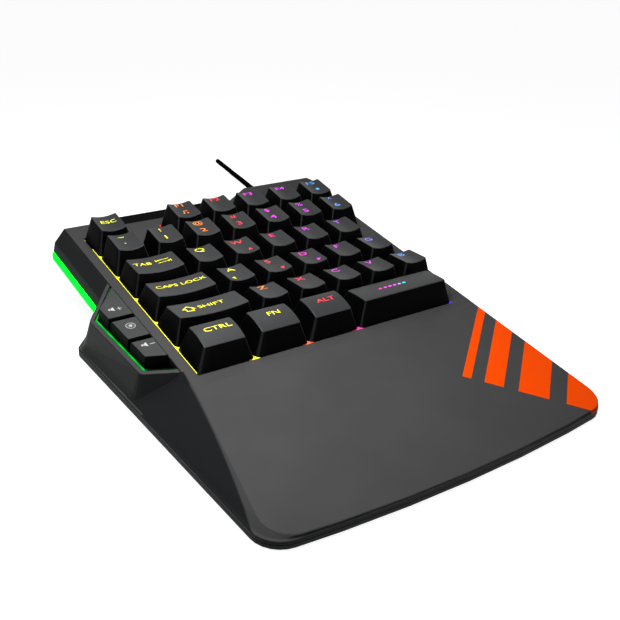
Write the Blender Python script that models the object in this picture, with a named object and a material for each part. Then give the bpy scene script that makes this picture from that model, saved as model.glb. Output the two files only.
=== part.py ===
"""One-handed membrane keypad: a sloped case with a palm rest, a key well, a side wing and a USB cord.

Plan positions are measured from the front left corner of the key field, x to the right and y to the
rear. The deck is the tilted surface that the keys stand on. Level coordinates have z up from the desk.
"""

import math

import bmesh
import bpy
from mathutils import Matrix, Vector

# Fits
GAP = 0.0003
OVERRUN = 0.002
OVERLAP = 0.0005

# Deck
DECK_TILT = math.radians(8.0)
PALM_FRONT_HEIGHT = 0.00468
DECK_WALL = 0.0036
PALM_DROP = 0.0002

# Key field
KEY_PITCH = 0.01905
CAP_GAP = 0.0009
CAP_HEIGHT = 0.0113
CAP_SIDE_INSET = 0.0031
FRONT_CAP_SIDE_INSET = 0.0034
CAP_WALL = 0.0013
CAP_ROOF = 0.0014
CAP_EDGE = 0.0004
DISH_DEPTH = 0.0011
FRONT_CAP_CROWN = 0.0009
SPACE_CROWN = 0.0003
KEY_TRAVEL = 0.0035
STEM_SIDE = 0.0056
STEM_DROP = 0.0055
STEM_CLEARANCE = 0.0003

# Key widths as shares of the key pitch, from the front row to the rear row; a nameless key is a blank
KEY_ROW_SHARES = (
    (("ctrl", 4 / 3), ("fn", 4 / 3), ("alt", 4 / 3), ("space", 2.75)),
    (("shift", 2), ("z", 1), ("x", 1), ("c", 1), ("v", 1), ("b", 1)),
    (("caps_lock", 1.75), ("a", 1), ("s", 1), ("d", 1), ("f", 1), ("g", 1)),
    (("tab", 1.5), ("q", 1), ("w", 1), ("e", 1), ("r", 1), ("t", 1)),
    (("grave", 1), ("1", 1), ("2", 1), ("3", 1), ("4", 1), ("5", 1), ("6", 1)),
    (("esc", 1), ("", 1), ("f1", 1), ("f2", 1), ("f3", 1), ("f4", 1), ("f5", 1)),
)
# Where a row's cap tops begin and end, as shares of the key pitch
ROW_TOP_FRONT_SHARES = (0.177, 0.206, 0.200, 0.231, 0.280, 0.291)
ROW_TOP_BACK_SHARES = (0.858, 0.853, 0.878, 0.913, 0.955, 0.955)
# How high a row's cap tops are at those places, as shares of the cap height
ROW_FRONT_HEIGHT_SHARES = (0.835, 0.973, 0.866, 0.856, 0.944, 0.928)
ROW_BACK_HEIGHT_SHARES = (0.948, 0.798, 0.753, 0.821, 0.996, 0.992)
# The space bar's front and back edge, each its place in the pitch and its height
SPACE_TOP_SHARES = ((0.205, 0.956), (0.871, 0.770))

# Guide plate, domes and what lies under them
PLATE_THICKNESS = 0.0013
PLATE_MARGIN = 0.0024
CHIMNEY_WALL = 0.0012
CHIMNEY_HEIGHT = 0.0059
DOME_FOOT_RADIUS = 0.0046
DOME_TOP_RADIUS = 0.0027
DOME_HEIGHT = 0.0038
SHEET_THICKNESS = 0.0007
MEMBRANE_THICKNESS = 0.0004
BACK_PLATE_THICKNESS = 0.0008

# Case footprint
LEFT_REACH_REAR = 0.0231
LEFT_REACH_FRONT = 0.0199
RIGHT_MARGIN = 0.00525
FRONT_REACH = 0.0862
FRONT_BOW = 0.0047
REAR_MARGIN = 0.0125
CORNER_RADIUS = 0.0112
REAR_CORNER_RADIUS = 0.003
WING_CORNER_RADIUS = 0.0030
FLANGE_CORNER_RADIUS = 0.006
CASE_WALL = 0.0022

# Base shell, seam and the bands round the front
PAD_PROUD = 0.0007
BASE_THICKNESS = 0.0015
BAND_HEIGHT = 0.0012
SHOULDER_RISE = 0.0003
SHOULDER_INSET = 0.0005
PALM_EDGE = 0.0003
LIP_WIDTH = 0.0014
LIP_HEIGHT = 0.002

# Left flank behind the wing: how far it stands out and how far below the deck
BEZEL = 0.0045
FLANK_REACH = 0.0094
FLANK_DROP = 0.006
BELT_REACH = 0.0104
BELT_DROP = 0.0103
LIGHT_HEIGHT = 0.0042
LIGHT_DEPTH = 0.0023
LIGHT_PROUD = 0.0007
LIGHT_MARGIN = 0.0004
UNDERCUT = 0.0030

# Palm rest
PALM_LEFT_REAR = 0.0042
PALM_REAR = 0.020
LIP_REACH = 0.0045
PALM_WALL = 0.0024
PALM_HOLLOW_FRONT = 0.062

# Wing with the media keys
WING_START = 0.0047
WING_LENGTH = 0.0703
WING_REACH = 0.016
WING_FALL = 0.004
WING_ROOT = 0.0005
WING_HOLLOW_ROOT = 0.0050
WING_FOOT_HEIGHT = 0.0068
WING_LEDGE = 0.0012
# Corners of the wing and its foot as shares of its reach out from the bezel and of its length back
WING_REAR_SHARES = (1.0, 0.721)
WING_FRONT_SHARES = (0.794, 0.127)
WING_FOOT_REAR_SHARES = (1.04, 0.835)
WING_FOOT_FRONT_SHARES = (0.94, 0.116)
FLANGE_REAR_SHARE = 0.865
WING_RIM = 0.0018
WING_PANEL = 0.0022
MEDIA_GUIDE_WIDTH = 0.0007
MEDIA_GUIDE_DEPTH = 0.003
MEDIA_GUIDE_SINK = 0.0003
MEDIA_KEY_PROUD = 0.0015
MEDIA_KEY_DRAFT = 0.0004
MEDIA_KEY_GAP = 0.0014
MEDIA_KEY_DEPTH = 0.0075
MEDIA_KEY_TRAVEL = 0.0012
MEDIA_KEY_EDGE = 0.0003
# Where the media keys part, and where the front one ends left and right, as shares of the wing's length
MEDIA_SPLIT_SHARES = (0.345, 0.572)
MEDIA_FRONT_SHARES = (0.172, 0.132)
MEDIA_BOARD_THICKNESS = 0.0012
MEDIA_BOARD_ROOT = 0.003
MEDIA_BOARD_CLEARANCE = 0.0015
MEDIA_SWITCH_SIDE = 0.006
MEDIA_SWITCH_HEIGHT = 0.0028
MEDIA_POST = 0.004

# Rear edge: a black inlay and a raised back
REAR_STRIP_DEPTH = 0.0071
INLAY_DEPTH = 0.0012
INLAY_RISE = 0.0013
INLAY_MARGIN = 0.0010
HUMP_HEIGHT = 0.0053
HUMP_LEFT = 0.0840
HUMP_LEFT_SLOPE = 0.0090
HUMP_RIGHT_SLOPE = 0.0060
HUMP_SIDE_HEIGHT = 0.0028
SKIN = 0.0003

# Feet and posts
PAD_LENGTH = 0.022
PAD_WIDTH = 0.009
PAD_THICKNESS = 0.0014
PAD_INSET = 0.012
PAD_CORNER = 0.002
POST_SIDE = 0.005
POST_INSET = 0.012
POST_REAR_INSET = 0.030
SCREW_BOSS_RADIUS = 0.003
SCREW_HOLE_RADIUS = 0.0012
SCREW_HEAD_RADIUS = 0.0026
SCREW_HEAD_DEPTH = 0.0008

# Controller board
BOARD_WIDTH = 0.046
BOARD_DEPTH = 0.024
BOARD_THICKNESS = 0.0016
BOARD_HEIGHT = 0.0080
BOARD_RIGHT_MARGIN = 0.008
BOARD_REAR_MARGIN = 0.006
CHIP_SIDE = 0.008
CHIP_HEIGHT = 0.0014
PLUG_HEADER_SIZE = (0.010, 0.006, 0.005)

# Space bar wire
WIRE_RADIUS = 0.0007
WIRE_ARM = 0.006
WIRE_RISE = 0.0012
WIRE_INSET = 0.010

# Cord
CORD_RADIUS = 0.0015
CORD_EXIT_X = 0.1150
CORD_EXIT_HEIGHT = 0.0270
RELIEF_LENGTH = 0.020
RELIEF_ROOT_RADIUS = 0.0036
RELIEF_TIP_RADIUS = 0.0023
RELIEF_COLLAR_RADIUS = 0.0048
RELIEF_COLLAR = 0.0018
RELIEF_RIB = 0.0007
# Route of the free stretch, in level coordinates, from the strain relief to the coil
CORD_ROUTE = (
    (0.1150, 0.1460, 0.0270),
    (0.1160, 0.1534, 0.0270),
    (0.1193, 0.1670, 0.0260),
    (0.1241, 0.1815, 0.0239),
    (0.1296, 0.1958, 0.0211),
    (0.1354, 0.2100, 0.0180),
    (0.1410, 0.2243, 0.0152),
    (0.1446, 0.2349, 0.0136),
    (0.1470, 0.2436, 0.0127),
    (0.1485, 0.2500, 0.0123),
    (0.1493, 0.2549, 0.0122),
    (0.1511, 0.2593, 0.0113),
    (0.1544, 0.2617, 0.0087),
    (0.1581, 0.2613, 0.0056),
    (0.1607, 0.2583, 0.0029),
    (0.1613, 0.2530, 0.0017),
    (0.1605, 0.2481, 0.0017),
    (0.1594, 0.2412, 0.0017),
    (0.1575, 0.2293, 0.0017),
    (0.1550, 0.2135, 0.0017),
    (0.1525, 0.1977, 0.0017),
    (0.1500, 0.1819, 0.0017),
    (0.1476, 0.1681, 0.0017),
)
CORD_STEP = 0.0070
COIL_CENTRE = (0.1196, 0.1565)
COIL_RADIUS = 0.0265
COIL_PITCH = 0.00348
COIL_LAYER = 0.0035
COIL_FLOOR = 0.0017
COIL_LAYER_TURNS = 5.125
# Tail from the coil to the plug
TAIL_ROUTE = (
    (0.1096, 0.1306, 0.0046),
    (0.1000, 0.1333, 0.0030),
    (0.0920, 0.1378, 0.0036),
    (0.0868, 0.1400, 0.0044),
    (0.0828, 0.1400, 0.0044),
)
PLUG_GRIP = (0.024, 0.0150, 0.0080)
PLUG_SHELL = (0.0120, 0.0120, 0.0045)
PLUG_WALL = 0.0004
PLUG_TONGUE = 0.0017
PLUG_EDGE = 0.0015

# Counts
ARC_STEPS = 6
BOW_STEPS = 6
SMALL_ARC_STEPS = 3
DISH_STEPS = 6
CROWN_STEPS = 5
ROUND_SIDES = 16
DOME_SIDES = 8
RELIEF_SIDES = 12
LOOP_POINTS = 24

SIN = math.sin(DECK_TILT)
COS = math.cos(DECK_TILT)
SEAM = PAD_PROUD + BASE_THICKNESS + GAP
BAND_TOP = SEAM + BAND_HEIGHT
FIELD_WIDTH = KEY_PITCH * max(sum(share for _, share in row) for row in KEY_ROW_SHARES)
FIELD_DEPTH = KEY_PITCH * len(KEY_ROW_SHARES)
RIGHT_SIDE = FIELD_WIDTH + RIGHT_MARGIN
REAR_REACH = FIELD_DEPTH * COS + REAR_MARGIN
REAR_STRIP_FRONT = REAR_REACH / COS - REAR_STRIP_DEPTH
DECK_RIGHT = RIGHT_SIDE - SHOULDER_INSET - SKIN
DECK_REAR = REAR_REACH - SKIN
MIDDLE = ((RIGHT_SIDE - LEFT_REACH_REAR) / 2, (REAR_REACH - FRONT_REACH) / 2)
PLATE_TOP = -(KEY_TRAVEL + CAP_EDGE)
PLATE_BOTTOM = PLATE_TOP - PLATE_THICKNESS
DOME_TOP = -(STEM_DROP + GAP)
SHEET_TOP = DOME_TOP - DOME_HEIGHT
SHEET_BOTTOM = SHEET_TOP - SHEET_THICKNESS
MEMBRANE_TOP = SHEET_BOTTOM - GAP
MEMBRANE_BOTTOM = MEMBRANE_TOP - MEMBRANE_THICKNESS
BACK_PLATE_TOP = MEMBRANE_BOTTOM - GAP
BACK_PLATE_BOTTOM = BACK_PLATE_TOP - BACK_PLATE_THICKNESS
# The deck clears the sheets under the keys, and the palm rest's front edge keeps its thickness
STACK_HEIGHT = SEAM + LIP_HEIGHT - BACK_PLATE_BOTTOM * COS
PALM_HEIGHT = PALM_FRONT_HEIGHT + FRONT_REACH * math.tan(DECK_TILT)
DECK_HEIGHT = max(STACK_HEIGHT, PALM_HEIGHT)


def from_deck(x, y, z):
    """Level coordinates of a point given on the tilted deck."""
    return Vector((x, y * COS - z * SIN, y * SIN + z * COS + DECK_HEIGHT))


def on_deck(x, level_y, z):
    """The point at height z over the deck that has this level y."""
    return from_deck(x, (level_y + z * SIN) / COS, z)


def rounded(corners, steps):
    """An outline of (x, y, radius) corners with each radius drawn as an arc."""
    outline = []
    for index, (x, y, radius) in enumerate(corners):
        corner = Vector((x, y))
        if not radius:
            outline.append(corner)
            continue
        before = (Vector(corners[index - 1][:2]) - corner).normalized()
        after = (Vector(corners[(index + 1) % len(corners)][:2]) - corner).normalized()
        half = before.angle(after) / 2
        centre = corner + (before + after).normalized() * (radius / math.sin(half))
        first = corner + before * (radius / math.tan(half)) - centre
        turn = math.copysign(math.pi - 2 * half, before.cross(after))
        for step in range(steps + 1):
            angle = -turn * step / steps
            spin = Matrix.Rotation(angle, 2)
            outline.append(centre + spin @ first)
    return outline


def inset(outline, distances):
    """A counter-clockwise outline moved inward, by one distance or by one for each edge."""
    count = len(outline)
    if not isinstance(distances, (list, tuple)):
        distances = [distances] * count
    moved = []
    for index, point in enumerate(outline):
        into = (point - outline[index - 1]).normalized()
        out_of = (outline[(index + 1) % count] - point).normalized()
        side_in = Vector((-into.y, into.x))
        side_out = Vector((-out_of.y, out_of.x))
        first = point + side_in * distances[index - 1]
        second = point + side_out * distances[index]
        turn = into.cross(out_of)
        if abs(turn) < math.sin(math.radians(0.5)):
            moved.append((first + second) / 2)
            continue
        moved.append(first + into * ((second - first).cross(out_of) / turn))
    return moved


def circle(x, y, radius, sides):
    """A regular outline round a point."""
    angles = [2 * math.pi * side / sides for side in range(sides)]
    return [Vector((x + radius * math.cos(a), y + radius * math.sin(a))) for a in angles]


def box_outline(x, y, width, depth):
    """A rectangle round a point."""
    w, d = width / 2, depth / 2
    return [Vector(p) for p in ((x - w, y - d), (x + w, y - d), (x + w, y + d), (x - w, y + d))]


def level_ring(outline, height):
    return [Vector((p.x, p.y, height)) for p in outline]


def skin(bm, rings):
    """Adds one closed shell through rings of equally many points, listed from the bottom up."""
    loops = [[bm.verts.new(point) for point in ring] for ring in rings]
    count = len(loops[0])
    for low, high in zip(loops, loops[1:]):
        for i in range(count):
            j = (i + 1) % count
            bm.faces.new((low[i], low[j], high[j], high[i]))
    bm.faces.new(list(reversed(loops[0])))
    bm.faces.new(loops[-1])


def material(name, colour, roughness, metallic=0.0, glow=0.0):
    """A Principled material; a glow makes the colour shine by itself."""
    made = bpy.data.materials.get(name)
    if made:
        return made
    made = bpy.data.materials.new(name)
    made.use_nodes = True
    shader = made.node_tree.nodes["Principled BSDF"]
    shader.inputs["Base Color"].default_value = (*colour, 1)
    shader.inputs["Roughness"].default_value = roughness
    shader.inputs["Metallic"].default_value = metallic
    shader.inputs["Emission Color"].default_value = (*colour, 1)
    shader.inputs["Emission Strength"].default_value = glow
    made.diffuse_color = (*colour, 1)
    return made


def case_grey():
    return material("case_grey", (0.072, 0.072, 0.074), 0.55)


def base_black():
    return material("base_black", (0.028, 0.030, 0.032), 0.55)


def cap_black():
    return material("cap_black", (0.012, 0.012, 0.013), 0.45)


def rubber_black():
    return material("rubber_black", (0.010, 0.010, 0.010), 0.85)


def light_green():
    return material("light_green", (0.0, 1.0, 0.07), 0.4, glow=1.0)


def add_object(name, bm, finish, parent):
    """Turns the mesh into an object that is shaded smooth up to its edges."""
    bmesh.ops.recalc_face_normals(bm, faces=bm.faces)
    mesh = bpy.data.meshes.new(name)
    bm.to_mesh(mesh)
    bm.free()
    mesh.shade_smooth()
    mesh.set_sharp_from_angle(angle=math.radians(30))
    mesh.materials.append(finish)
    made = bpy.data.objects.new(name, mesh)
    bpy.context.scene.collection.objects.link(made)
    made.parent = parent
    return made


def solid(name, rings, finish, parent):
    """An object of one shell through the rings."""
    bm = bmesh.new()
    skin(bm, rings)
    return add_object(name, bm, finish, parent)


def tool(name, shells, parent):
    """A hidden object of one or more shells, for a Boolean to use."""
    bm = bmesh.new()
    for rings in shells:
        skin(bm, rings)
    made = add_object(name, bm, case_grey(), parent)
    made.hide_render = True
    made.display_type = "WIRE"
    return made


def combine(target, operation, cutter):
    """Adds an exact Boolean of the hidden cutter to the target."""
    modifier = target.modifiers.new(cutter.name, "BOOLEAN")
    modifier.operation = operation
    modifier.solver = "EXACT"
    modifier.object = cutter


def empty(name, parent, matrix):
    made = bpy.data.objects.new(name, None)
    bpy.context.scene.collection.objects.link(made)
    made.parent = parent
    made.matrix_local = matrix
    return made


def clear_scene():
    for item in list(bpy.data.objects):
        bpy.data.objects.remove(item, do_unlink=True)


def row_end(row):
    return KEY_PITCH * sum(share for _, share in KEY_ROW_SHARES[row])


def well_outline():
    """The stepped opening that the key rows fill, with the blank beside the escape key left shut."""
    corners = [(0, 0)]
    for row in range(len(KEY_ROW_SHARES)):
        for edge in (row, row + 1):
            corner = (row_end(row), KEY_PITCH * edge)
            if corner != corners[-1]:
                corners.append(corner)
    top = len(KEY_ROW_SHARES) - 1
    x = row_end(top)
    for name, share in reversed(KEY_ROW_SHARES[top]):
        if not name:
            corners += [(x, KEY_PITCH * (top + 1)), (x, KEY_PITCH * top)]
            x -= KEY_PITCH * share
            corners += [(x, KEY_PITCH * top), (x, KEY_PITCH * (top + 1))]
            continue
        x -= KEY_PITCH * share
    corners.append((0, KEY_PITCH * (top + 1)))
    return [Vector(corner) for corner in corners]


def front_edge():
    """The bowed front edge between its two corners, left to right."""
    points = []
    for step in range(1, BOW_STEPS):
        share = step / BOW_STEPS
        x = -LEFT_REACH_FRONT + share * (RIGHT_SIDE + LEFT_REACH_FRONT)
        lag = (2 * share - 1) ** 2
        points.append((x, FRONT_BOW * lag - FRONT_REACH, 0))
    return points


def footprint():
    """The whole outline on the desk, counter-clockwise from the front left corner."""
    corner_y = FRONT_BOW - FRONT_REACH
    flange_rear = WING_START + WING_LENGTH * FLANGE_REAR_SHARE
    slope = (WING_START + WING_LENGTH - wing_point(WING_REAR_SHARES)[1]) / WING_REACH
    waist_y = flange_rear + slope * (LEFT_REACH_REAR + UNDERCUT)
    corners = [
        (-LEFT_REACH_FRONT, corner_y, CORNER_RADIUS),
        *front_edge(),
        (RIGHT_SIDE, corner_y, CORNER_RADIUS),
        (RIGHT_SIDE, REAR_REACH, REAR_CORNER_RADIUS),
        (UNDERCUT, REAR_REACH, REAR_CORNER_RADIUS),
        (UNDERCUT, waist_y, 0),
        (-LEFT_REACH_REAR, flange_rear, FLANGE_CORNER_RADIUS),
    ]
    return rounded(corners, ARC_STEPS)


def palm_outline(rear_x, front_x):
    """The palm rest's outline at some height, with its left edge from rear_x to front_x."""
    corner_y = FRONT_BOW - FRONT_REACH
    corners = [
        (front_x, corner_y, CORNER_RADIUS),
        *front_edge(),
        (RIGHT_SIDE, corner_y, CORNER_RADIUS),
        (RIGHT_SIDE, PALM_REAR, 0),
        (rear_x, PALM_REAR, 0),
    ]
    return rounded(corners, ARC_STEPS)


def deck_ring(outline, z):
    """An outline in level plan, raised to a height over the tilted deck."""
    return [on_deck(p.x, p.y, z) for p in outline]


def palm_rings():
    slope = (LEFT_REACH_FRONT - PALM_LEFT_REAR) / FRONT_REACH
    top_rear = slope * PALM_REAR - PALM_LEFT_REAR
    reach = LEFT_REACH_REAR - LEFT_REACH_FRONT
    base_rear = -LEFT_REACH_FRONT - reach * (PALM_REAR + FRONT_REACH) / (FRONT_REACH + WING_LENGTH)
    base = inset(palm_outline(base_rear, -LEFT_REACH_FRONT), SHOULDER_INSET + SKIN)
    top = palm_outline(top_rear, SHOULDER_INSET - LEFT_REACH_FRONT)
    return [
        level_ring(base, SEAM + OVERLAP),
        level_ring(base, BAND_TOP + SHOULDER_RISE),
        deck_ring(inset(top, GAP), -(PALM_DROP + PALM_EDGE)),
        deck_ring(inset(top, GAP + PALM_EDGE), -PALM_DROP),
    ]


def flank_profile():
    """The deck's cross-section as (x, deck height) pairs down the left flank, then the right side."""
    light_bottom = BELT_DROP + LIGHT_HEIGHT
    return [
        (UNDERCUT + SKIN, None),
        (DECK_RIGHT, None),
        (DECK_RIGHT, 0),
        (-BEZEL, 0),
        (-FLANK_REACH, -FLANK_DROP),
        (-BELT_REACH, -BELT_DROP),
        (-BELT_REACH, -light_bottom),
    ]


def flank_ring(level_y, edge=0):
    """The cross-section at a level y; edge trims the top corner of the front lip."""
    ring = []
    for x, z in flank_profile():
        if z is None:
            ring.append(Vector((x, level_y, SEAM + OVERLAP)))
            continue
        point = on_deck(x, level_y, z - edge if z == 0 else z)
        point.z = max(point.z, SEAM + OVERLAP + SKIN)
        ring.append(point)
    return ring


def deck_rings():
    """Slices of the deck from its front lip to the rear wall."""
    return [
        flank_ring(-LIP_REACH, PALM_DROP + GAP),
        flank_ring(-CAP_GAP),
        flank_ring(DECK_REAR - SKIN),
        flank_ring(DECK_REAR, SKIN),
    ]


def wing_height(x):
    """The wing's surface over the deck: it falls away from just under the bezel."""
    return (x + BEZEL) * WING_FALL / WING_REACH - SKIN


def wing_point(shares):
    out, along = shares
    return (-BEZEL - WING_REACH * out, WING_START + WING_LENGTH * along)


def wing_outline(radius, root):
    """The wing in deck plan, counter-clockwise from its front root."""
    rear = wing_point(WING_REAR_SHARES)
    front = wing_point(WING_FRONT_SHARES)
    rear_slope = (WING_START + WING_LENGTH - rear[1]) / WING_REACH
    front_slope = (front[1] - WING_START) / (WING_REACH * WING_FRONT_SHARES[0])
    corners = [
        (root - BEZEL, WING_START - front_slope * root, 0),
        (root - BEZEL, WING_START + WING_LENGTH + rear_slope * root, 0),
        (*rear, radius),
        (*front, radius),
    ]
    return rounded(corners, SMALL_ARC_STEPS)


def wing_foot():
    """The outline where the wing's wall meets the flange, with as many points as the wing's own."""
    rear = wing_point(WING_FOOT_REAR_SHARES)
    front = wing_point(WING_FOOT_FRONT_SHARES)
    lean = rear[1] - wing_point(WING_REAR_SHARES)[1]
    corners = [
        (WING_ROOT - BEZEL, WING_START, 0),
        (WING_ROOT - BEZEL, WING_START + WING_LENGTH + lean, 0),
        (*rear, WING_CORNER_RADIUS + WING_CORNER_RADIUS),
        (*front, WING_CORNER_RADIUS + WING_CORNER_RADIUS),
    ]
    return rounded(corners, SMALL_ARC_STEPS)


def wing_rings():
    """The wing from the flange up: a shoulder, a wall that leans in, and the sloping top."""
    top = wing_outline(WING_CORNER_RADIUS, WING_ROOT)
    level_top = [from_deck(p.x, p.y, wing_height(p.x)) for p in top]
    foot = wing_foot()
    shoulder = inset(foot, [0, *[-WING_LEDGE] * (len(foot) - 1)])
    return [
        level_ring(shoulder, SEAM + OVERLAP + SKIN),
        level_ring(shoulder, BAND_TOP + SHOULDER_RISE),
        level_ring(foot, WING_FOOT_HEIGHT),
        level_top,
    ]


def hull_points(points):
    """A mesh of the convex hull of the points."""
    bm = bmesh.new()
    for point in points:
        bm.verts.new(point)
    result = bmesh.ops.convex_hull(bm, input=bm.verts)
    spare = [item for item in result["geom_interior"] if isinstance(item, bmesh.types.BMVert)]
    bmesh.ops.delete(bm, geom=spare, context="VERTS")
    bmesh.ops.dissolve_limit(
        bm, angle_limit=math.radians(1), verts=bm.verts, edges=bm.edges
    )
    return bm


def hump(parent):
    """The raised back behind the function keys, as a hidden solid to join to the case."""
    right = DECK_RIGHT - SKIN
    rear = DECK_REAR - SKIN
    flat_left = HUMP_LEFT + HUMP_LEFT_SLOPE
    flat_right = RIGHT_SIDE - HUMP_RIGHT_SLOPE
    front = on_deck(0, REAR_STRIP_FRONT, 0).y
    points = []
    for depth in (-OVERRUN, -SKIN):
        points += [on_deck(x, y, depth) for x in (HUMP_LEFT, right) for y in (front, rear)]
    points += [on_deck(x, rear, HUMP_HEIGHT) for x in (flat_left, flat_right)]
    points.append(on_deck(right, rear, HUMP_SIDE_HEIGHT))
    made = add_object("hump_form", hull_points(points), case_grey(), parent)
    made.hide_render = True
    made.display_type = "WIRE"
    return made


def deck_hollow_rings():
    """The space under the deck: it narrows to the seam as the flank is undercut."""
    foot = hollow_outline(UNDERCUT + CASE_WALL)
    plan = hollow_outline(-PLATE_MARGIN - GAP)
    return [
        level_ring(foot, SEAM - OVERRUN),
        level_ring(foot, SEAM + OVERLAP),
        deck_ring(plan, BACK_PLATE_BOTTOM - GAP),
        deck_ring(plan, -DECK_WALL),
    ]


def hollow_outline(left):
    right = RIGHT_SIDE - CASE_WALL
    rear = REAR_REACH - CASE_WALL
    front = -LIP_REACH / 2
    return [Vector(p) for p in ((left, front), (right, front), (right, rear), (left, rear))]


def palm_hollow_rings():
    """The space under the palm rest, which ends where the rest grows thin."""
    base_left = CASE_WALL + CASE_WALL - LEFT_REACH_FRONT
    slope = (LEFT_REACH_FRONT - PALM_LEFT_REAR) / FRONT_REACH
    rear = -LIP_REACH / 2 + OVERLAP
    front = -PALM_HOLLOW_FRONT
    right = RIGHT_SIDE - CASE_WALL
    top_left = [slope * y - PALM_LEFT_REAR + CASE_WALL + OVERRUN for y in (front, rear)]
    base = [(base_left, front), (right, front), (right, rear), (base_left, rear)]
    top = [(top_left[0], front), (right, front), (right, rear), (top_left[1], rear)]
    return [
        level_ring([Vector(p) for p in base], SEAM - OVERRUN),
        level_ring([Vector(p) for p in base], SEAM + OVERLAP),
        deck_ring([Vector(p) for p in top], -PALM_WALL),
    ]


def wing_hollow_rings():
    """The space inside the wing, which opens into the space under the deck."""
    plan = inset(wing_outline(WING_CORNER_RADIUS, WING_HOLLOW_ROOT), CASE_WALL)
    top = [from_deck(p.x, p.y, wing_height(p.x) - WING_PANEL) for p in plan]
    foot = [Vector((p.x, p.y, SEAM - OVERRUN)) for p in top]
    return [foot, top]


def hole_outline():
    """The opening for the media keys, in deck plan."""
    frame = wing_outline(0, 0)
    return inset(frame, [GAP, WING_RIM, WING_RIM, WING_RIM])


def inlay_outline():
    """The black inlay in the rear strip, from the escape key to the raised back, in level plan."""
    left = KEY_PITCH + CAP_GAP + OVERRUN + OVERLAP
    right = HUMP_LEFT - INLAY_MARGIN
    front = on_deck(0, REAR_STRIP_FRONT, 0).y
    rear = REAR_REACH - INLAY_MARGIN
    corners = [(left, front, 0), (right, front, 0), (right, rear, 0), (left, rear, 0)]
    return rounded(corners, SMALL_ARC_STEPS)


def light_box(clearance):
    """The side light's slot at a clearance, or the guide itself at none, in level coordinates."""
    inner = LIGHT_DEPTH - BELT_REACH + clearance
    outer = -BELT_REACH - LIGHT_PROUD - (OVERRUN if clearance else 0)
    front = WING_START + WING_LENGTH
    rear = REAR_REACH - SKIN + (OVERRUN if clearance else 0)
    low = LIGHT_MARGIN - clearance - BELT_DROP - LIGHT_HEIGHT
    high = clearance - LIGHT_MARGIN - BELT_DROP
    plan = [(outer, front - clearance), (inner, front - clearance), (inner, rear), (outer, rear)]
    ring = [Vector(p) for p in plan]
    return [deck_ring(ring, low), deck_ring(ring, high)]


def cord_rings(stations, sides):
    """Rings round the cord's exit from (y, radius) stations."""
    return [
        [Vector((p.x, y, p.y)) for p in circle(CORD_EXIT_X, CORD_EXIT_HEIGHT, radius, sides)]
        for y, radius in stations
    ]


def cord_hole_rings():
    """The hole for the strain relief, with room for its collar inside the wall."""
    inside = REAR_REACH - CASE_WALL
    stations = [
        (REAR_REACH + OVERRUN, RELIEF_ROOT_RADIUS + GAP),
        (inside, RELIEF_ROOT_RADIUS + GAP),
        (inside, RELIEF_COLLAR_RADIUS + GAP),
        (inside - RELIEF_COLLAR - OVERRUN, RELIEF_COLLAR_RADIUS + GAP),
    ]
    return cord_rings(stations, ROUND_SIDES)


def boss_places():
    """Where the screws join the two shells, in level plan."""
    left = -PLATE_MARGIN - SCREW_BOSS_RADIUS
    right = RIGHT_SIDE - PAD_INSET
    middle = FIELD_WIDTH / 2
    front = -PALM_HOLLOW_FRONT * 2 / 3
    return [(left, front), (middle, front), (right, front)]


def boss_rings(x, y, radius, low, cover):
    plan = circle(x, y, radius, ROUND_SIDES // 2)
    return [level_ring(plan, low), deck_ring(plan, cover)]


def build_top_case(level):
    """The upper moulding: palm rest, deck, flank, wing and raised back in one shell."""
    case = solid("top_case", deck_rings(), case_grey(), level)
    flange = footprint()
    shoulder = level_ring(inset(flange, SHOULDER_INSET), BAND_TOP + SHOULDER_RISE)
    flange_rings = [level_ring(flange, SEAM), level_ring(flange, BAND_TOP), shoulder]
    joined = (
        tool("flange_form", [flange_rings], level),
        tool("palm_form", [palm_rings()], level),
        tool("wing_form", [wing_rings()], level),
        hump(level),
    )
    for form in joined:
        combine(case, "UNION", form)
    well = [
        [from_deck(p.x, p.y, depth) for p in well_outline()]
        for depth in (-DECK_WALL - OVERRUN, OVERRUN)
    ]
    inlay_floor = -(INLAY_DEPTH + GAP)
    slot = inset(inlay_outline(), -GAP)
    hole = [
        [from_deck(p.x, p.y, wing_height(p.x) - WING_PANEL - OVERRUN) for p in hole_outline()],
        [from_deck(p.x, p.y, OVERRUN) for p in hole_outline()],
    ]
    cuts = (
        tool("deck_hollow", [deck_hollow_rings()], level),
        tool("palm_hollow", [palm_hollow_rings()], level),
        tool("wing_hollow", [wing_hollow_rings()], level),
        tool("key_well", [well], level),
        tool("media_hole", [hole], level),
        tool("light_slot", [light_box(GAP)], level),
        tool("inlay_recess", [[deck_ring(slot, inlay_floor), deck_ring(slot, OVERRUN)]], level),
        tool("cord_hole", [cord_hole_rings()], level),
    )
    for cut in cuts:
        combine(case, "DIFFERENCE", cut)
    bosses = [
        boss_rings(x, y, SCREW_BOSS_RADIUS, SEAM, -PALM_WALL + OVERLAP) for x, y in boss_places()
    ]
    holes = [
        boss_rings(x, y, SCREW_HOLE_RADIUS, SEAM - OVERRUN, -PALM_WALL - OVERLAP)
        for x, y in boss_places()
    ]
    combine(case, "UNION", tool("screw_bosses", bosses, level))
    combine(case, "DIFFERENCE", tool("screw_bores", holes, level))
    return case


def post_places():
    """Where the base carries the back plate, in level plan."""
    xs = (POST_INSET + UNDERCUT, FIELD_WIDTH / 2, FIELD_WIDTH - POST_INSET)
    ys = (POST_INSET, FIELD_DEPTH - POST_REAR_INSET)
    return [(x, y) for y in ys for x in xs]


def board_centre():
    x = RIGHT_SIDE - CASE_WALL - BOARD_RIGHT_MARGIN - BOARD_WIDTH / 2
    y = REAR_REACH - CASE_WALL - BOARD_REAR_MARGIN - BOARD_DEPTH / 2
    return x, y


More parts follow.
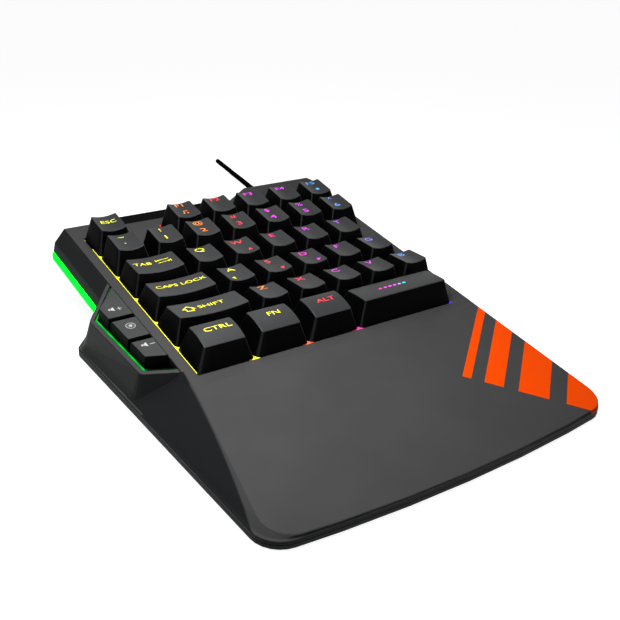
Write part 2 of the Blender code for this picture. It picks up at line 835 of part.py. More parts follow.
def pad_places():
    """The four feet, in level plan."""
    front = -FRONT_REACH + FRONT_BOW + PAD_INSET
    rear = REAR_REACH - PAD_INSET
    left = PAD_INSET + PAD_LENGTH / 2 - LEFT_REACH_FRONT
    left_rear = PAD_INSET / 2 + PAD_LENGTH / 2 + UNDERCUT
    right = RIGHT_SIDE - PAD_INSET - PAD_LENGTH / 2
    return {
        "foot_pad_front_left": (left, front),
        "foot_pad_front_right": (right, front),
        "foot_pad_rear_left": (left_rear, rear),
        "foot_pad_rear_right": (right, rear),
    }


def media_post_places():
    """Where the base carries the media board, in deck plan."""
    x = -BEZEL - WING_REACH / 2
    return [(x, WING_START + WING_LENGTH * share) for share in MEDIA_SPLIT_SHARES]


def media_board_top():
    return MEDIA_KEY_PROUD - MEDIA_KEY_DEPTH - GAP - MEDIA_SWITCH_HEIGHT


def build_bottom_case(level):
    """The base shell: a flat plate on the footprint, a locating lip, posts, and pockets for the feet."""
    top = PAD_PROUD + BASE_THICKNESS
    outline = footprint()
    plate = [level_ring(outline, PAD_PROUD), level_ring(outline, top)]
    case = solid("bottom_case", plate, base_black(), level)
    lip_outer = inset(hollow_outline(UNDERCUT + CASE_WALL), GAP)
    lip_inner = inset(lip_outer, LIP_WIDTH)
    lip = flat_rings(lip_outer, top - OVERLAP, top + LIP_HEIGHT)
    trench = flat_rings(lip_inner, top, top + LIP_HEIGHT + OVERRUN)
    combine(case, "UNION", tool("lip_form", [lip], level))
    combine(case, "DIFFERENCE", tool("lip_hollow", [trench], level))
    posts = []
    for x, y in post_places():
        plan = box_outline(x, y, POST_SIDE, POST_SIDE)
        posts.append([level_ring(plan, top - OVERLAP), deck_ring(plan, BACK_PLATE_BOTTOM - GAP)])
    board_x, board_y = board_centre()
    for dx in (-BOARD_WIDTH / 2, BOARD_WIDTH / 2):
        for dy in (-BOARD_DEPTH / 2, BOARD_DEPTH / 2):
            x = board_x + dx - math.copysign(POST_SIDE / 2, dx)
            y = board_y + dy - math.copysign(POST_SIDE / 2, dy)
            plan = box_outline(x, y, POST_SIDE, POST_SIDE)
            posts.append([level_ring(plan, top - OVERLAP), level_ring(plan, BOARD_HEIGHT - GAP)])
    for x, y in media_post_places():
        plan = box_outline(x, y, MEDIA_POST, MEDIA_POST)
        height = media_board_top() - MEDIA_BOARD_THICKNESS - GAP
        head = [from_deck(p.x, p.y, height) for p in plan]
        foot = [Vector((p.x, p.y, top - OVERLAP)) for p in head]
        posts.append([foot, head])
    combine(case, "UNION", tool("post_forms", posts, level))
    pockets = []
    for x, y in pad_places().values():
        plan = inset(pad_outline(x, y), -GAP)
        pockets.append(flat_rings(plan, PAD_PROUD - OVERRUN, PAD_THICKNESS + GAP))
    combine(case, "DIFFERENCE", tool("pad_pockets", pockets, level))
    bores = []
    for x, y in boss_places():
        head = circle(x, y, SCREW_HEAD_RADIUS, ROUND_SIDES // 2)
        bore = circle(x, y, SCREW_HOLE_RADIUS, ROUND_SIDES // 2)
        shelf = PAD_PROUD + SCREW_HEAD_DEPTH
        bores.append(
            [
                level_ring(head, PAD_PROUD - OVERRUN),
                level_ring(head, shelf),
                level_ring(bore, shelf),
                level_ring(bore, top + OVERRUN),
            ]
        )
    combine(case, "DIFFERENCE", tool("screw_holes", bores, level))
    return case


def pad_outline(x, y):
    corners = [(p.x, p.y, PAD_CORNER) for p in box_outline(x, y, PAD_LENGTH, PAD_WIDTH)]
    return rounded(corners, SMALL_ARC_STEPS)


def build_pads(level):
    """Rubber feet that the whole keypad stands on."""
    for name, (x, y) in pad_places().items():
        plan = pad_outline(x, y)
        solid(name, [level_ring(plan, 0), level_ring(plan, PAD_THICKNESS)], rubber_black(), level)


def key_places():
    """Every key of the field as (name, row, centre x, width), without the blank."""
    places = []
    for row, keys in enumerate(KEY_ROW_SHARES):
        x = 0
        for name, share in keys:
            width = share * KEY_PITCH
            if name:
                places.append((name, row, x + width / 2, width))
            x += width
    return places


def row_centre(row):
    return KEY_PITCH * (row + 1 / 2)


def plate_outline(margin):
    """The outline that the guide plate and the sheets under it share, in deck plan."""
    front = GAP - CAP_GAP
    rear = FIELD_DEPTH + margin
    left, right = -margin, FIELD_WIDTH + margin
    return [Vector(p) for p in ((left, front), (right, front), (right, rear), (left, rear))]


def flat_rings(plan, low, high):
    """Rings in the deck's own coordinates."""
    return [level_ring(plan, low), level_ring(plan, high)]


def build_key_plate(deck):
    """The guide plate: one square chimney for each key's stem."""
    slab = flat_rings(plate_outline(PLATE_MARGIN), PLATE_BOTTOM, PLATE_TOP)
    plate = solid("key_plate", slab, base_black(), deck)
    hole = STEM_SIDE + 2 * STEM_CLEARANCE
    side = hole + 2 * CHIMNEY_WALL
    chimneys, bores = [], []
    for _, row, x, _ in key_places():
        y = row_centre(row)
        top = PLATE_TOP + CHIMNEY_HEIGHT
        chimneys.append(flat_rings(box_outline(x, y, side, side), PLATE_TOP - OVERLAP, top))
        bore = box_outline(x, y, hole, hole)
        bores.append(flat_rings(bore, PLATE_BOTTOM - OVERRUN, top + OVERRUN))
    combine(plate, "UNION", tool("chimney_forms", chimneys, deck))
    combine(plate, "DIFFERENCE", tool("stem_bores", bores, deck))


def build_sheets(deck):
    """Rubber dome sheet, membrane circuit and steel back plate, stacked under the guide plate."""
    plan = plate_outline(PLATE_MARGIN)
    slab = flat_rings(plan, SHEET_BOTTOM, SHEET_TOP)
    sheet = solid("dome_sheet", slab, rubber_black(), deck)
    domes = []
    for _, row, x, _ in key_places():
        y = row_centre(row)
        foot = circle(x, y, DOME_FOOT_RADIUS, DOME_SIDES)
        crown = circle(x, y, DOME_TOP_RADIUS, DOME_SIDES)
        domes.append([*flat_rings(foot, SHEET_TOP - OVERLAP, SHEET_TOP), level_ring(crown, DOME_TOP)])
    combine(sheet, "UNION", tool("dome_forms", domes, deck))
    film = material("membrane_film", (0.35, 0.42, 0.38), 0.3)
    circuit = flat_rings(plan, MEMBRANE_BOTTOM, MEMBRANE_TOP)
    solid("membrane_circuit", circuit, film, deck)
    steel = material("zinc_steel", (0.55, 0.56, 0.58), 0.35, metallic=1.0)
    solid("back_plate", flat_rings(plan, BACK_PLATE_BOTTOM, BACK_PLATE_TOP), steel, deck)


def cap_shape(name, row):
    """Front and back of a cap's top as (y from the key's centre, height), and its dish and crown."""
    if name == "space":
        (front, front_height), (back, back_height) = SPACE_TOP_SHARES
        dish, crown, side_inset = 0, SPACE_CROWN, FRONT_CAP_SIDE_INSET
    else:
        front, back = ROW_TOP_FRONT_SHARES[row], ROW_TOP_BACK_SHARES[row]
        front_height, back_height = ROW_FRONT_HEIGHT_SHARES[row], ROW_BACK_HEIGHT_SHARES[row]
        dish, crown = (DISH_DEPTH, 0) if row else (0, FRONT_CAP_CROWN)
        side_inset = CAP_SIDE_INSET if row else FRONT_CAP_SIDE_INSET
    ends = [
        (KEY_PITCH * (place - 1 / 2), CAP_HEIGHT * height)
        for place, height in ((front, front_height), (back, back_height))
    ]
    return ends, dish, crown, side_inset


def top_grid(half_width, ends, dish, crown):
    """Rows of points over a cap's top, from its front edge to its back edge."""
    (front, front_height), (back, back_height) = ends
    foot = (KEY_PITCH - CAP_GAP) / 2
    across = DISH_STEPS if dish else 1
    along = CROWN_STEPS if crown else 1
    grid = []
    for j in range(along + 1):
        t = j / along
        line = []
        for i in range(across + 1):
            s = 2 * i / across - 1
            sag = dish * (1 - s * s)
            z = front_height + (back_height - front_height) * t - sag + 4 * crown * t * (1 - t)
            y = front + (back - front) * t
            if j == 0:
                y -= (front + foot) * sag / front_height
            if j == along:
                y += (foot - back) * sag / back_height
            line.append(Vector((s * half_width, y, z)))
        grid.append(line)
    return grid


def add_cap_outside(bm, half_foot, half_depth, grid):
    """The outer faces of a cap; returns its foot corners, counter-clockwise from the front left."""
    signs = ((-1, -1), (1, -1), (1, 1), (-1, 1))
    foot = [bm.verts.new((sx * half_foot, sy * half_depth, 0)) for sx, sy in signs]
    top = [[bm.verts.new(point) for point in line] for line in grid]
    for low, high in zip(top, top[1:]):
        for i in range(len(low) - 1):
            bm.faces.new((low[i], low[i + 1], high[i + 1], high[i]))
    bm.faces.new((foot[0], foot[1], *reversed(top[0])))
    bm.faces.new((foot[2], foot[3], *top[-1]))
    bm.faces.new((foot[1], foot[2], *[line[-1] for line in reversed(top)]))
    bm.faces.new((foot[3], foot[0], *[line[0] for line in top]))
    return foot


def cap_edges(bm, foot, heights):
    """The edges to chamfer: the four uprights and the border of the top."""
    low = min(heights) - DISH_DEPTH
    chosen = []
    for edge in bm.edges:
        a, b = (vert.co for vert in edge.verts)
        upright = any(vert in foot for vert in edge.verts) and max(a.z, b.z) > low
        border = min(a.z, b.z) >= low and len(edge.link_faces) == 2
        if upright:
            chosen.append(edge)
        elif border:
            first, second = (face.normal for face in edge.link_faces)
            if first.angle(second) > math.radians(40):
                chosen.append(edge)
    return chosen


def build_keycap(name, row, x, width, deck):
    """One keycap with its stem, at rest on its dome; its origin is on the line that it slides along."""
    ends, dish, crown, side_inset = cap_shape(name, row)
    half_foot = (width - CAP_GAP) / 2
    half_depth = (KEY_PITCH - CAP_GAP) / 2
    grid = top_grid(half_foot - side_inset, ends, dish, crown)
    bm = bmesh.new()
    foot = add_cap_outside(bm, half_foot, half_depth, grid)
    bm.normal_update()
    heights = [height for _, height in ends]
    bmesh.ops.recalc_face_normals(bm, faces=bm.faces)
    edges = cap_edges(bm, foot, heights)
    bmesh.ops.bevel(bm, geom=edges, offset=CAP_EDGE, segments=1, affect="EDGES", clamp_overlap=True)
    outer = [edge for edge in bm.edges if edge.is_boundary]
    add_hollow(bm, outer, half_foot, half_depth, side_inset, ends, min(heights) - dish - CAP_ROOF)
    key = add_object("key_" + name, bm, cap_black(), deck)
    key.location = (x, row_centre(row), 0)
    return key


def add_hollow(bm, outer, half_foot, half_depth, side_inset, ends, roof_height):
    """The hollow under a cap and the stem in it, bridged to the outer foot."""
    signs = ((-1, -1), (1, -1), (1, 1), (-1, 1))
    share = roof_height / CAP_HEIGHT
    half_roof = half_foot - CAP_WALL - side_inset * share
    front = -half_depth + CAP_WALL + (ends[0][0] + half_depth) * share
    back = half_depth - CAP_WALL - (half_depth - ends[1][0]) * share
    half = STEM_SIDE / 2
    inner_foot, inner_depth = half_foot - CAP_WALL, half_depth - CAP_WALL
    ends_of = {-1: front, 1: back}
    rim = [bm.verts.new((sx * inner_foot, sy * inner_depth, 0)) for sx, sy in signs]
    roof = [bm.verts.new((sx * half_roof, ends_of[sy], roof_height)) for sx, sy in signs]
    root = [bm.verts.new((sx * half, sy * half, roof_height)) for sx, sy in signs]
    tip = [bm.verts.new((sx * half, sy * half, -STEM_DROP)) for sx, sy in signs]
    for low, high in ((rim, roof), (roof, root), (root, tip)):
        for i in range(len(low)):
            j = (i + 1) % len(low)
            bm.faces.new((low[j], low[i], high[i], high[j]))
    bm.faces.new(list(reversed(tip)))
    inner = [bm.edges.get((rim[i], rim[i - 1])) for i in range(len(rim))]
    bmesh.ops.bridge_loops(bm, edges=outer + inner)


def build_keycaps(deck):
    for name, row, x, width in key_places():
        build_keycap(name, row, x, width, deck)


def media_key_outlines():
    """The three media keys in deck plan, from the hole's outline and the places where they part."""
    clearance = GAP + MEDIA_GUIDE_WIDTH + GAP
    frame = inset(hole_outline(), [GAP, clearance, clearance, clearance])
    front_root, rear_root, rear, front = frame

    def left_at(y):
        share = (y - front.y) / (rear.y - front.y)
        return Vector((front.x + share * (rear.x - front.x), y))

    low, high = (WING_START + WING_LENGTH * share for share in MEDIA_SPLIT_SHARES)
    end_left, end_right = (WING_START + WING_LENGTH * share for share in MEDIA_FRONT_SHARES)
    half = MEDIA_KEY_GAP / 2
    right = front_root.x
    return {
        "key_volume_down": [
            Vector((right, end_right)),
            Vector((right, low - half)),
            left_at(low - half),
            left_at(end_left),
        ],
        "key_light": [
            Vector((right, low + half)),
            Vector((right, high - half)),
            left_at(high - half),
            left_at(low + half),
        ],
        "key_volume_up": [Vector((right, high + half)), rear_root, rear, left_at(high + half)],
    }


def build_media_keys(deck):
    """Three drafted buttons that stand in the wing's opening."""
    for name, outline in media_key_outlines().items():
        centre = sum(outline, Vector((0, 0))) / len(outline)
        local = [point - centre for point in outline]
        top = inset(local, [GAP, MEDIA_KEY_DRAFT, MEDIA_KEY_DRAFT, MEDIA_KEY_DRAFT])
        crown = inset(top, MEDIA_KEY_EDGE)
        foot = MEDIA_KEY_PROUD - MEDIA_KEY_DEPTH
        rings = [
            level_ring(local, foot),
            level_ring(top, MEDIA_KEY_PROUD - MEDIA_KEY_EDGE),
            level_ring(crown, MEDIA_KEY_PROUD),
        ]
        key = solid(name, rings, cap_black(), deck)
        key.location = (centre.x, centre.y, 0)


def build_media_guide(level):
    """The light guide that edges the media keys on three sides."""
    hole = hole_outline()
    outer = inset(hole, [GAP, GAP, GAP, GAP])
    inner = inset(hole, [GAP, *[GAP + MEDIA_GUIDE_WIDTH] * 3])
    front_root, rear_root, rear, front = outer
    inner_front_root, inner_rear_root, inner_rear, inner_front = inner
    plan = [front_root, inner_front_root, inner_front, inner_rear, inner_rear_root, rear_root]
    plan += [rear, front]
    depths = (MEDIA_GUIDE_SINK + MEDIA_GUIDE_DEPTH, MEDIA_GUIDE_SINK)
    rings = [[from_deck(p.x, p.y, wing_height(p.x) - depth) for p in plan] for depth in depths]
    solid("media_light_guide", rings, light_green(), level)


def build_media_board(deck):
    """A narrow board with a switch under each media key."""
    x = -BEZEL - MEDIA_BOARD_ROOT - MEDIA_SWITCH_SIDE / 2 - OVERLAP
    top = media_board_top()
    board_green = material("board_green", (0.02, 0.12, 0.05), 0.45)
    plan = inset(wing_outline(0, 0), [MEDIA_BOARD_ROOT, *[CASE_WALL + MEDIA_BOARD_CLEARANCE] * 3])
    slab = flat_rings(plan, top - MEDIA_BOARD_THICKNESS, top)
    board = solid("media_board", slab, board_green, deck)
    switches = []
    for outline in media_key_outlines().values():
        centre = sum(outline, Vector((0, 0))) / len(outline)
        side = box_outline(x, centre.y, MEDIA_SWITCH_SIDE, MEDIA_SWITCH_SIDE)
        button = circle(x, centre.y, MEDIA_SWITCH_SIDE / 3, DOME_SIDES)
        shoulder = top + MEDIA_SWITCH_HEIGHT / 3
        button_top = top + MEDIA_SWITCH_HEIGHT - MEDIA_KEY_TRAVEL
        switches.append(flat_rings(side, top - OVERLAP, shoulder))
        switches.append(flat_rings(button, shoulder - OVERLAP, button_top))
    combine(board, "UNION", tool("switch_forms", switches, deck))


def build_side_light(level):
    """The light bar let into the left flank."""
    solid("side_light_guide", light_box(0), light_green(), level)


def build_inlay(level):
    """The gloss black inlay in the rear strip, which rises a little towards the back."""
    gloss = material("gloss_black", (0.008, 0.008, 0.009), 0.12)
    plan = inlay_outline()
    front = plan[0].y
    slope = INLAY_RISE / (plan[-1].y - front)
    top = [on_deck(p.x, p.y, (p.y - front) * slope) for p in plan]
    solid("rear_inlay", [deck_ring(plan, -INLAY_DEPTH), top], gloss, level)


def build_controller_board(level):
    """The USB controller on its posts, with a chip and a plug header."""
    x, y = board_centre()
    green = material("board_green", (0.02, 0.12, 0.05), 0.45)
    top = BOARD_HEIGHT + BOARD_THICKNESS
    plan = box_outline(x, y, BOARD_WIDTH, BOARD_DEPTH)
    board = solid("controller_board", flat_rings(plan, BOARD_HEIGHT, top), green, level)
    chip = box_outline(x - BOARD_WIDTH / 4, y, CHIP_SIDE, CHIP_SIDE)
    header_width, header_depth, header_height = PLUG_HEADER_SIZE
    header = box_outline(x + BOARD_WIDTH / 4, y + BOARD_DEPTH / 4, header_width, header_depth)
    forms = [
        flat_rings(chip, top - OVERLAP, top + CHIP_HEIGHT),
        flat_rings(header, top - OVERLAP, top + header_height),
    ]
    combine(board, "UNION", tool("board_parts", forms, level))


def tube(name, points, radius, resolution, finish, parent):
    """A round tube along the points, with closed ends."""
    curve = bpy.data.curves.new(name, "CURVE")
    curve.dimensions = "3D"
    curve.bevel_depth = radius
    curve.bevel_resolution = resolution
    curve.use_fill_caps = True
    spline = curve.splines.new("POLY")
    spline.points.add(len(points) - 1)
    for place, point in zip(spline.points, points):
        place.co = (*point, 1)
    curve.materials.append(finish)
    made = bpy.data.objects.new(name, curve)
    bpy.context.scene.collection.objects.link(made)
    made.parent = parent
    return made


def smooth_route(points, step):
    """Points about a step apart on a smooth curve through the given ones."""
    ends = [2 * points[0] - points[1], *points, 2 * points[-1] - points[-2]]
    fine = []
    for before, start, stop, after in zip(ends, ends[1:], ends[2:], ends[3:]):
        for part in range(ROUND_SIDES):
            t = part / ROUND_SIDES
            fine.append(
                (
                    2 * start
                    + (stop - before) * t
                    + (2 * before - 5 * start + 4 * stop - after) * t**2
                    + (3 * start - before - 3 * stop + after) * t**3
                )
                / 2
            )
    fine.append(points[-1])
    lengths = [0.0]
    for a, b in zip(fine, fine[1:]):
        lengths.append(lengths[-1] + (b - a).length)
    count = max(2, round(lengths[-1] / step))
    route, at = [], 0
    for index in range(count + 1):
        goal = lengths[-1] * index / count
        while at < len(fine) - 2 and lengths[at + 1] < goal:
            at += 1
        share = (goal - lengths[at]) / (lengths[at + 1] - lengths[at])
        route.append(fine[at].lerp(fine[at + 1], share))
    return route


def coil_points():
    """Two flat spirals: in on the floor, up a layer at the middle, and out again on top."""
    turns = 2 * COIL_LAYER_TURNS
    count = round(turns * LOOP_POINTS)
    inner = COIL_RADIUS - COIL_PITCH * COIL_LAYER_TURNS
    centre_x, centre_y = COIL_CENTRE
    points = []
    for index in range(count + 1):
        turn = turns * index / count
        past = turn - COIL_LAYER_TURNS
        radius = inner + COIL_PITCH * abs(past)
        rise = min(max(2 * past + 1 / 2, 0), 1)
        angle = -2 * math.pi * turn
        x = centre_x + radius * math.cos(angle)
        y = centre_y + radius * math.sin(angle)
        points.append(Vector((x, y, COIL_FLOOR + COIL_LAYER * rise)))
    return points


def least_gap(points):
    """The smallest clear distance between turns of the coil."""
    least = math.inf
    for index, point in enumerate(points):
        for other in points[index + LOOP_POINTS // 2 :]:
            least = min(least, (point - other).length)
    return least - 2 * CORD_RADIUS


def build_cord(level):
    """The strain relief, the free stretch, the coil with its tail, and the plug."""
    jacket = material("cord_black", (0.010, 0.010, 0.010), 0.6)
    build_strain_relief(level)
    turns = coil_points()
    lead = Vector((0, CORD_RADIUS + CORD_RADIUS, 0))
    seat = turns[0] + lead + Vector((0, GAP, 0))
    free = smooth_route([Vector(point) for point in CORD_ROUTE] + [seat], CORD_STEP)
    tube("cable", free, CORD_RADIUS, 2, jacket, level)
    tail = [Vector(point) for point in TAIL_ROUTE]
    end = tail[-1] - Vector((CORD_RADIUS + CORD_RADIUS, 0, 0))
    joined = smooth_route([turns[-1], *tail, end], CORD_STEP)
    wound = [turns[0] + lead, *turns, *joined[1:]]
    print("coil turns", 2 * COIL_LAYER_TURNS, "least gap mm", round(1000 * least_gap(turns), 3))
    tube("cable_coil", wound, CORD_RADIUS, 1, jacket, level)
    build_plug(end, level)


def build_strain_relief(level):
    """A tapered sleeve through the rear wall, with a collar inside and ribs outside."""
    wall_in = REAR_REACH - CASE_WALL - GAP
    wall_out = DECK_REAR + GAP
    tip = REAR_REACH + RELIEF_LENGTH
    stations = [
        (wall_in - RELIEF_COLLAR, RELIEF_COLLAR_RADIUS),
        (wall_in, RELIEF_COLLAR_RADIUS),
        (wall_in, RELIEF_ROOT_RADIUS),
        (wall_out, RELIEF_ROOT_RADIUS),
        (wall_out, RELIEF_COLLAR_RADIUS),
        (wall_out + RELIEF_COLLAR, RELIEF_COLLAR_RADIUS),
    ]
    ribs = 4
    start = wall_out + RELIEF_COLLAR
    for rib in range(ribs):
        y = start + (tip - start) * rib / ribs
        radius = RELIEF_ROOT_RADIUS + (RELIEF_TIP_RADIUS - RELIEF_ROOT_RADIUS) * rib / ribs
        groove = radius - RELIEF_RIB
        stations += [(y, groove), (y + RELIEF_COLLAR, groove), (y + RELIEF_COLLAR, radius)]
        stations.append((start + (tip - start) * (rib + 1) / ribs, radius))
    solid("strain_relief", cord_rings(stations, RELIEF_SIDES), rubber_black(), level)


def plug_ring(x, centre, width, height, edge):
    """A rounded section of the plug across the cord's end."""
    corners = [(p.x, p.y, edge) for p in box_outline(centre.y, centre.z, width, height)]
    return [Vector((x, p.x, p.y)) for p in rounded(corners, 2)]


def build_plug(end, level):
    """A moulded grip and the folded metal shell of the plug, with its tongue."""
    length, width, height = PLUG_GRIP
    centre = Vector((end.x, end.y, max(end.z, height / 2)))
    near = end.x - GAP
    far = near - length
    taper = length / 4
    grip_rings = [
        plug_ring(near, end, height * 3 / 4, height * 3 / 4, PLUG_EDGE),
        plug_ring(near - taper, centre, width, height, PLUG_EDGE),
        plug_ring(far, centre, width, height, PLUG_EDGE),
    ]
    solid("plug_grip", grip_rings, rubber_black(), level)
    shell_length, shell_width, shell_height = PLUG_SHELL
    tin = material("plug_tin", (0.62, 0.62, 0.64), 0.3, metallic=1.0)
    start = far - GAP
    box = [
        plug_ring(x, centre, shell_width, shell_height, PLUG_WALL) for x in (start, start - shell_length)
    ]
    shell = solid("plug_shell", box, tin, level)
    room = [
        plug_ring(x, centre, shell_width - 2 * PLUG_WALL, shell_height - 2 * PLUG_WALL, PLUG_WALL / 2)
        for x in (start - 2 * PLUG_WALL, start - shell_length - OVERRUN)
    ]
    combine(shell, "DIFFERENCE", tool("plug_room", [room], level))
    lower = Vector((centre.x, centre.y, centre.z + shell_height / 2 - PLUG_WALL - PLUG_TONGUE / 2))
    tongue = [
        plug_ring(x, lower, shell_width - 3 * PLUG_WALL, PLUG_TONGUE, PLUG_WALL / 2)
        for x in (start - PLUG_WALL, start - shell_length + PLUG_WALL)
    ]
    combine(shell, "UNION", tool("plug_tongue", [tongue], level))


def build_space_wire(deck):
    """The wire that keeps the space bar level: a long run with two bent arms, held in the guide plate."""
    name, row, x, width = [place for place in key_places() if place[0] == "space"][0]
    y = row_centre(row) + WIRE_ARM
    half = width / 2 - WIRE_INSET
    z = PLATE_TOP + WIRE_RADIUS + GAP
    lift = z + WIRE_RISE
    front = y - WIRE_ARM / 2
    points = [(x - half, front, lift), (x - half, y, z), (x + half, y, z), (x + half, front, lift)]
    steel = material("spring_steel", (0.6, 0.6, 0.62), 0.3, metallic=1.0)
    tube("space_bar_wire", [Vector(point) for point in points], WIRE_RADIUS, 1, steel, deck)


def main():
    clear_scene()
    level = empty("level_frame", None, Matrix.Translation((-MIDDLE[0], -MIDDLE[1], 0)))
    tilt = Matrix.Translation((0, 0, DECK_HEIGHT)) @ Matrix.Rotation(DECK_TILT, 4, "X")
    deck = empty("deck_frame", level, tilt)
    build_top_case(level)
    build_bottom_case(level)
    build_pads(level)
    build_key_plate(deck)
    build_sheets(deck)
    build_keycaps(deck)
    build_media_keys(deck)
    build_media_guide(level)
    build_media_board(deck)
    build_side_light(level)
    build_inlay(level)
    build_controller_board(level)
    build_space_wire(deck)
    build_cord(level)


main()
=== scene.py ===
# %% [markdown]
# # A one-handed keypad, dressed over its CAD solids
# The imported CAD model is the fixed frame: it says where every part is and what moves. This lesson
# gives each solid its finish and replaces the ones that need finer shapes. Loading it first means
# that every later piece can be placed from real sizes.

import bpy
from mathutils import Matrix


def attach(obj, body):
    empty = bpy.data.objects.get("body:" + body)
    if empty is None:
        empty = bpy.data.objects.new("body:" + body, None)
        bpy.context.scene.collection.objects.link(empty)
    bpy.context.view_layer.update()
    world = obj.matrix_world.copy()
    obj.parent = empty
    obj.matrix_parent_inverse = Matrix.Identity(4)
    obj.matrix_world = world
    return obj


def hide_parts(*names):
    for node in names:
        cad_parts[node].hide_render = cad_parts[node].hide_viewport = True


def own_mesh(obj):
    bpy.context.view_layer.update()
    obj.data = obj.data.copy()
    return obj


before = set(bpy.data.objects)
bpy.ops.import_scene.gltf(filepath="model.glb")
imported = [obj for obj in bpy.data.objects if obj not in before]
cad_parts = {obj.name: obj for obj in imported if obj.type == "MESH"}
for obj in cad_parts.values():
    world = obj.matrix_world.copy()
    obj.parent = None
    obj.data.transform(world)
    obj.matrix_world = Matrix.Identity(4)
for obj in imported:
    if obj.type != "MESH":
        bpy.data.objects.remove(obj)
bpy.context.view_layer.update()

# %% [markdown]
# ## Two rulers
# The case stands level, but the keys stand on a deck that is tilted by 8 degrees. One function
# places a point from level measurements and one matrix places whatever was modelled flat on the
# deck. The deck's origin is the front left corner of the key field.

# %% Places on the case and on the tilted deck
import math

import bmesh
import bpy
from mathutils import Matrix, Vector

TILT = math.radians(8)
DECK_HEIGHT = 0.016795
MIDDLE_X, MIDDLE_Y = 0.05775, 0.019744
PITCH = 0.01905


def level(x, y, z):
    """The place in the frame of a point measured from the key field's front left corner."""
    return Vector((x - MIDDLE_X, y - MIDDLE_Y, z))


DECK = Matrix.Translation(level(0, 0, DECK_HEIGHT)) @ Matrix.Rotation(TILT, 4, "X")
print("the deck rises", round(1000 * 6 * PITCH * math.sin(TILT), 1), "mm over the key field")

# %% [markdown]
# ## The camera
# The photograph looks down at the keypad from its front left corner with a normal lens. The
# camera's position and directions were solved from the key field's corners and the desk line.

# %% Set up the camera
LENS, SENSOR_WIDTH = 50.07, 36
CAMERA_PLACE = (-0.18624, -0.27021, 0.18184)
CAMERA_FORWARD = (0.52152, 0.73231, -0.43788)
CAMERA_RIGHT = (0.82512, -0.56352, 0.0403)

camera_data = bpy.data.cameras.new("camera")
camera_data.lens, camera_data.sensor_width = LENS, SENSOR_WIDTH
camera_data.clip_start = 0.01
camera = bpy.data.objects.new("camera", camera_data)
bpy.context.scene.collection.objects.link(camera)
forward = Vector(CAMERA_FORWARD).normalized()
right = Vector(CAMERA_RIGHT)
right = (right - forward * right.dot(forward)).normalized()
turn = Matrix((right, right.cross(forward), -forward)).transposed()
camera.matrix_world = Matrix.Translation(CAMERA_PLACE) @ turn.to_4x4()
bpy.context.scene.camera = camera
print("camera height, mm", round(1000 * camera.location.z))

# %% [markdown]
# ## The cord
# A slim USB lead leaves the raised back, goes out of sight behind the case, and is put away in a
# flat coil of two layers. It is one bevelled curve, because a curve keeps its thickness in every
# bend and its length can be read straight from its points. The route repeats the solids' own.

# %% Route of the cord
CORD_RADIUS = 0.0015
FREE_ROUTE = (
    (0.1150, 0.1457, 0.0270), (0.1160, 0.1534, 0.0270), (0.1193, 0.1670, 0.0260), (0.1241, 0.1815, 0.0239),
    (0.1296, 0.1958, 0.0211), (0.1354, 0.2100, 0.0180), (0.1410, 0.2243, 0.0152), (0.1446, 0.2349, 0.0136),
    (0.1470, 0.2436, 0.0127), (0.1485, 0.2500, 0.0123), (0.1493, 0.2549, 0.0122), (0.1511, 0.2593, 0.0113),
    (0.1544, 0.2617, 0.0087), (0.1581, 0.2613, 0.0056), (0.1607, 0.2583, 0.0029), (0.1613, 0.2530, 0.0017),
    (0.1605, 0.2481, 0.0017), (0.1594, 0.2412, 0.0017), (0.1575, 0.2293, 0.0017), (0.1550, 0.2135, 0.0017),
    (0.1525, 0.1977, 0.0017), (0.1500, 0.1819, 0.0017), (0.1476, 0.1681, 0.0017),
)
TAIL_ROUTE = (
    (0.1096, 0.1306, 0.0046), (0.1000, 0.1333, 0.0030), (0.0920, 0.1378, 0.0036), (0.0868, 0.1400, 0.0044),
    (0.0828, 0.1400, 0.0044), (0.0798, 0.1400, 0.0044),
)
LAYER_TURNS = 5.125
COIL_CENTRE = (0.1196, 0.1565)
COIL_PITCH, COIL_LAYER, COIL_FLOOR = 0.00348, 0.0035, 0.0017
COIL_OUTER = 0.0265
COIL_INNER = COIL_OUTER - COIL_PITCH * LAYER_TURNS
TURN_POINTS = 32
FREE_PARTS = 4


def coil_route(steps_a_turn):
    """Two flat spirals: in on the floor, up a layer at the middle, and out again on top."""
    count = round(2 * LAYER_TURNS * steps_a_turn)
    points = []
    for index in range(count + 1):
        past = index / steps_a_turn - LAYER_TURNS
        radius = COIL_INNER + COIL_PITCH * abs(past)
        angle = -2 * math.pi * (past + LAYER_TURNS)
        rise = min(max(2 * past + 1 / 2, 0), 1)
        x = COIL_CENTRE[0] + radius * math.cos(angle)
        y = COIL_CENTRE[1] + radius * math.sin(angle)
        points.append(Vector((x, y, COIL_FLOOR + COIL_LAYER * rise)))
    return points


def smooth(points, parts):
    """More points on a smooth curve through the given ones."""
    ends = [2 * points[0] - points[1], *points, 2 * points[-1] - points[-2]]
    fine = []
    for before, start, stop, after in zip(ends, ends[1:], ends[2:], ends[3:]):
        for part in range(parts):
            t = part / parts
            bend = 2 * before - 5 * start + 4 * stop - after
            swing = 3 * start - before - 3 * stop + after
            fine.append((2 * start + (stop - before) * t + bend * t**2 + swing * t**3) / 2)
    return [*fine, points[-1]]


turns = coil_route(TURN_POINTS)
free = [Vector(point) for point in FREE_ROUTE]
tail = [Vector(point) for point in TAIL_ROUTE]
entry = turns[0] + Vector((0, 2 * CORD_RADIUS, 0))
route = smooth([*free, entry], FREE_PARTS) + turns + smooth([turns[-1], *tail], FREE_PARTS)[1:]
route = [level(*point) for point in route]

# %% [markdown]
# The curve is bevelled with a round section of many sides, which is smooth at this size. Its
# thickness is held by its points, because Blender measures a curve's box from their radius. The
# whole cord is one piece that stands for both CAD solids.

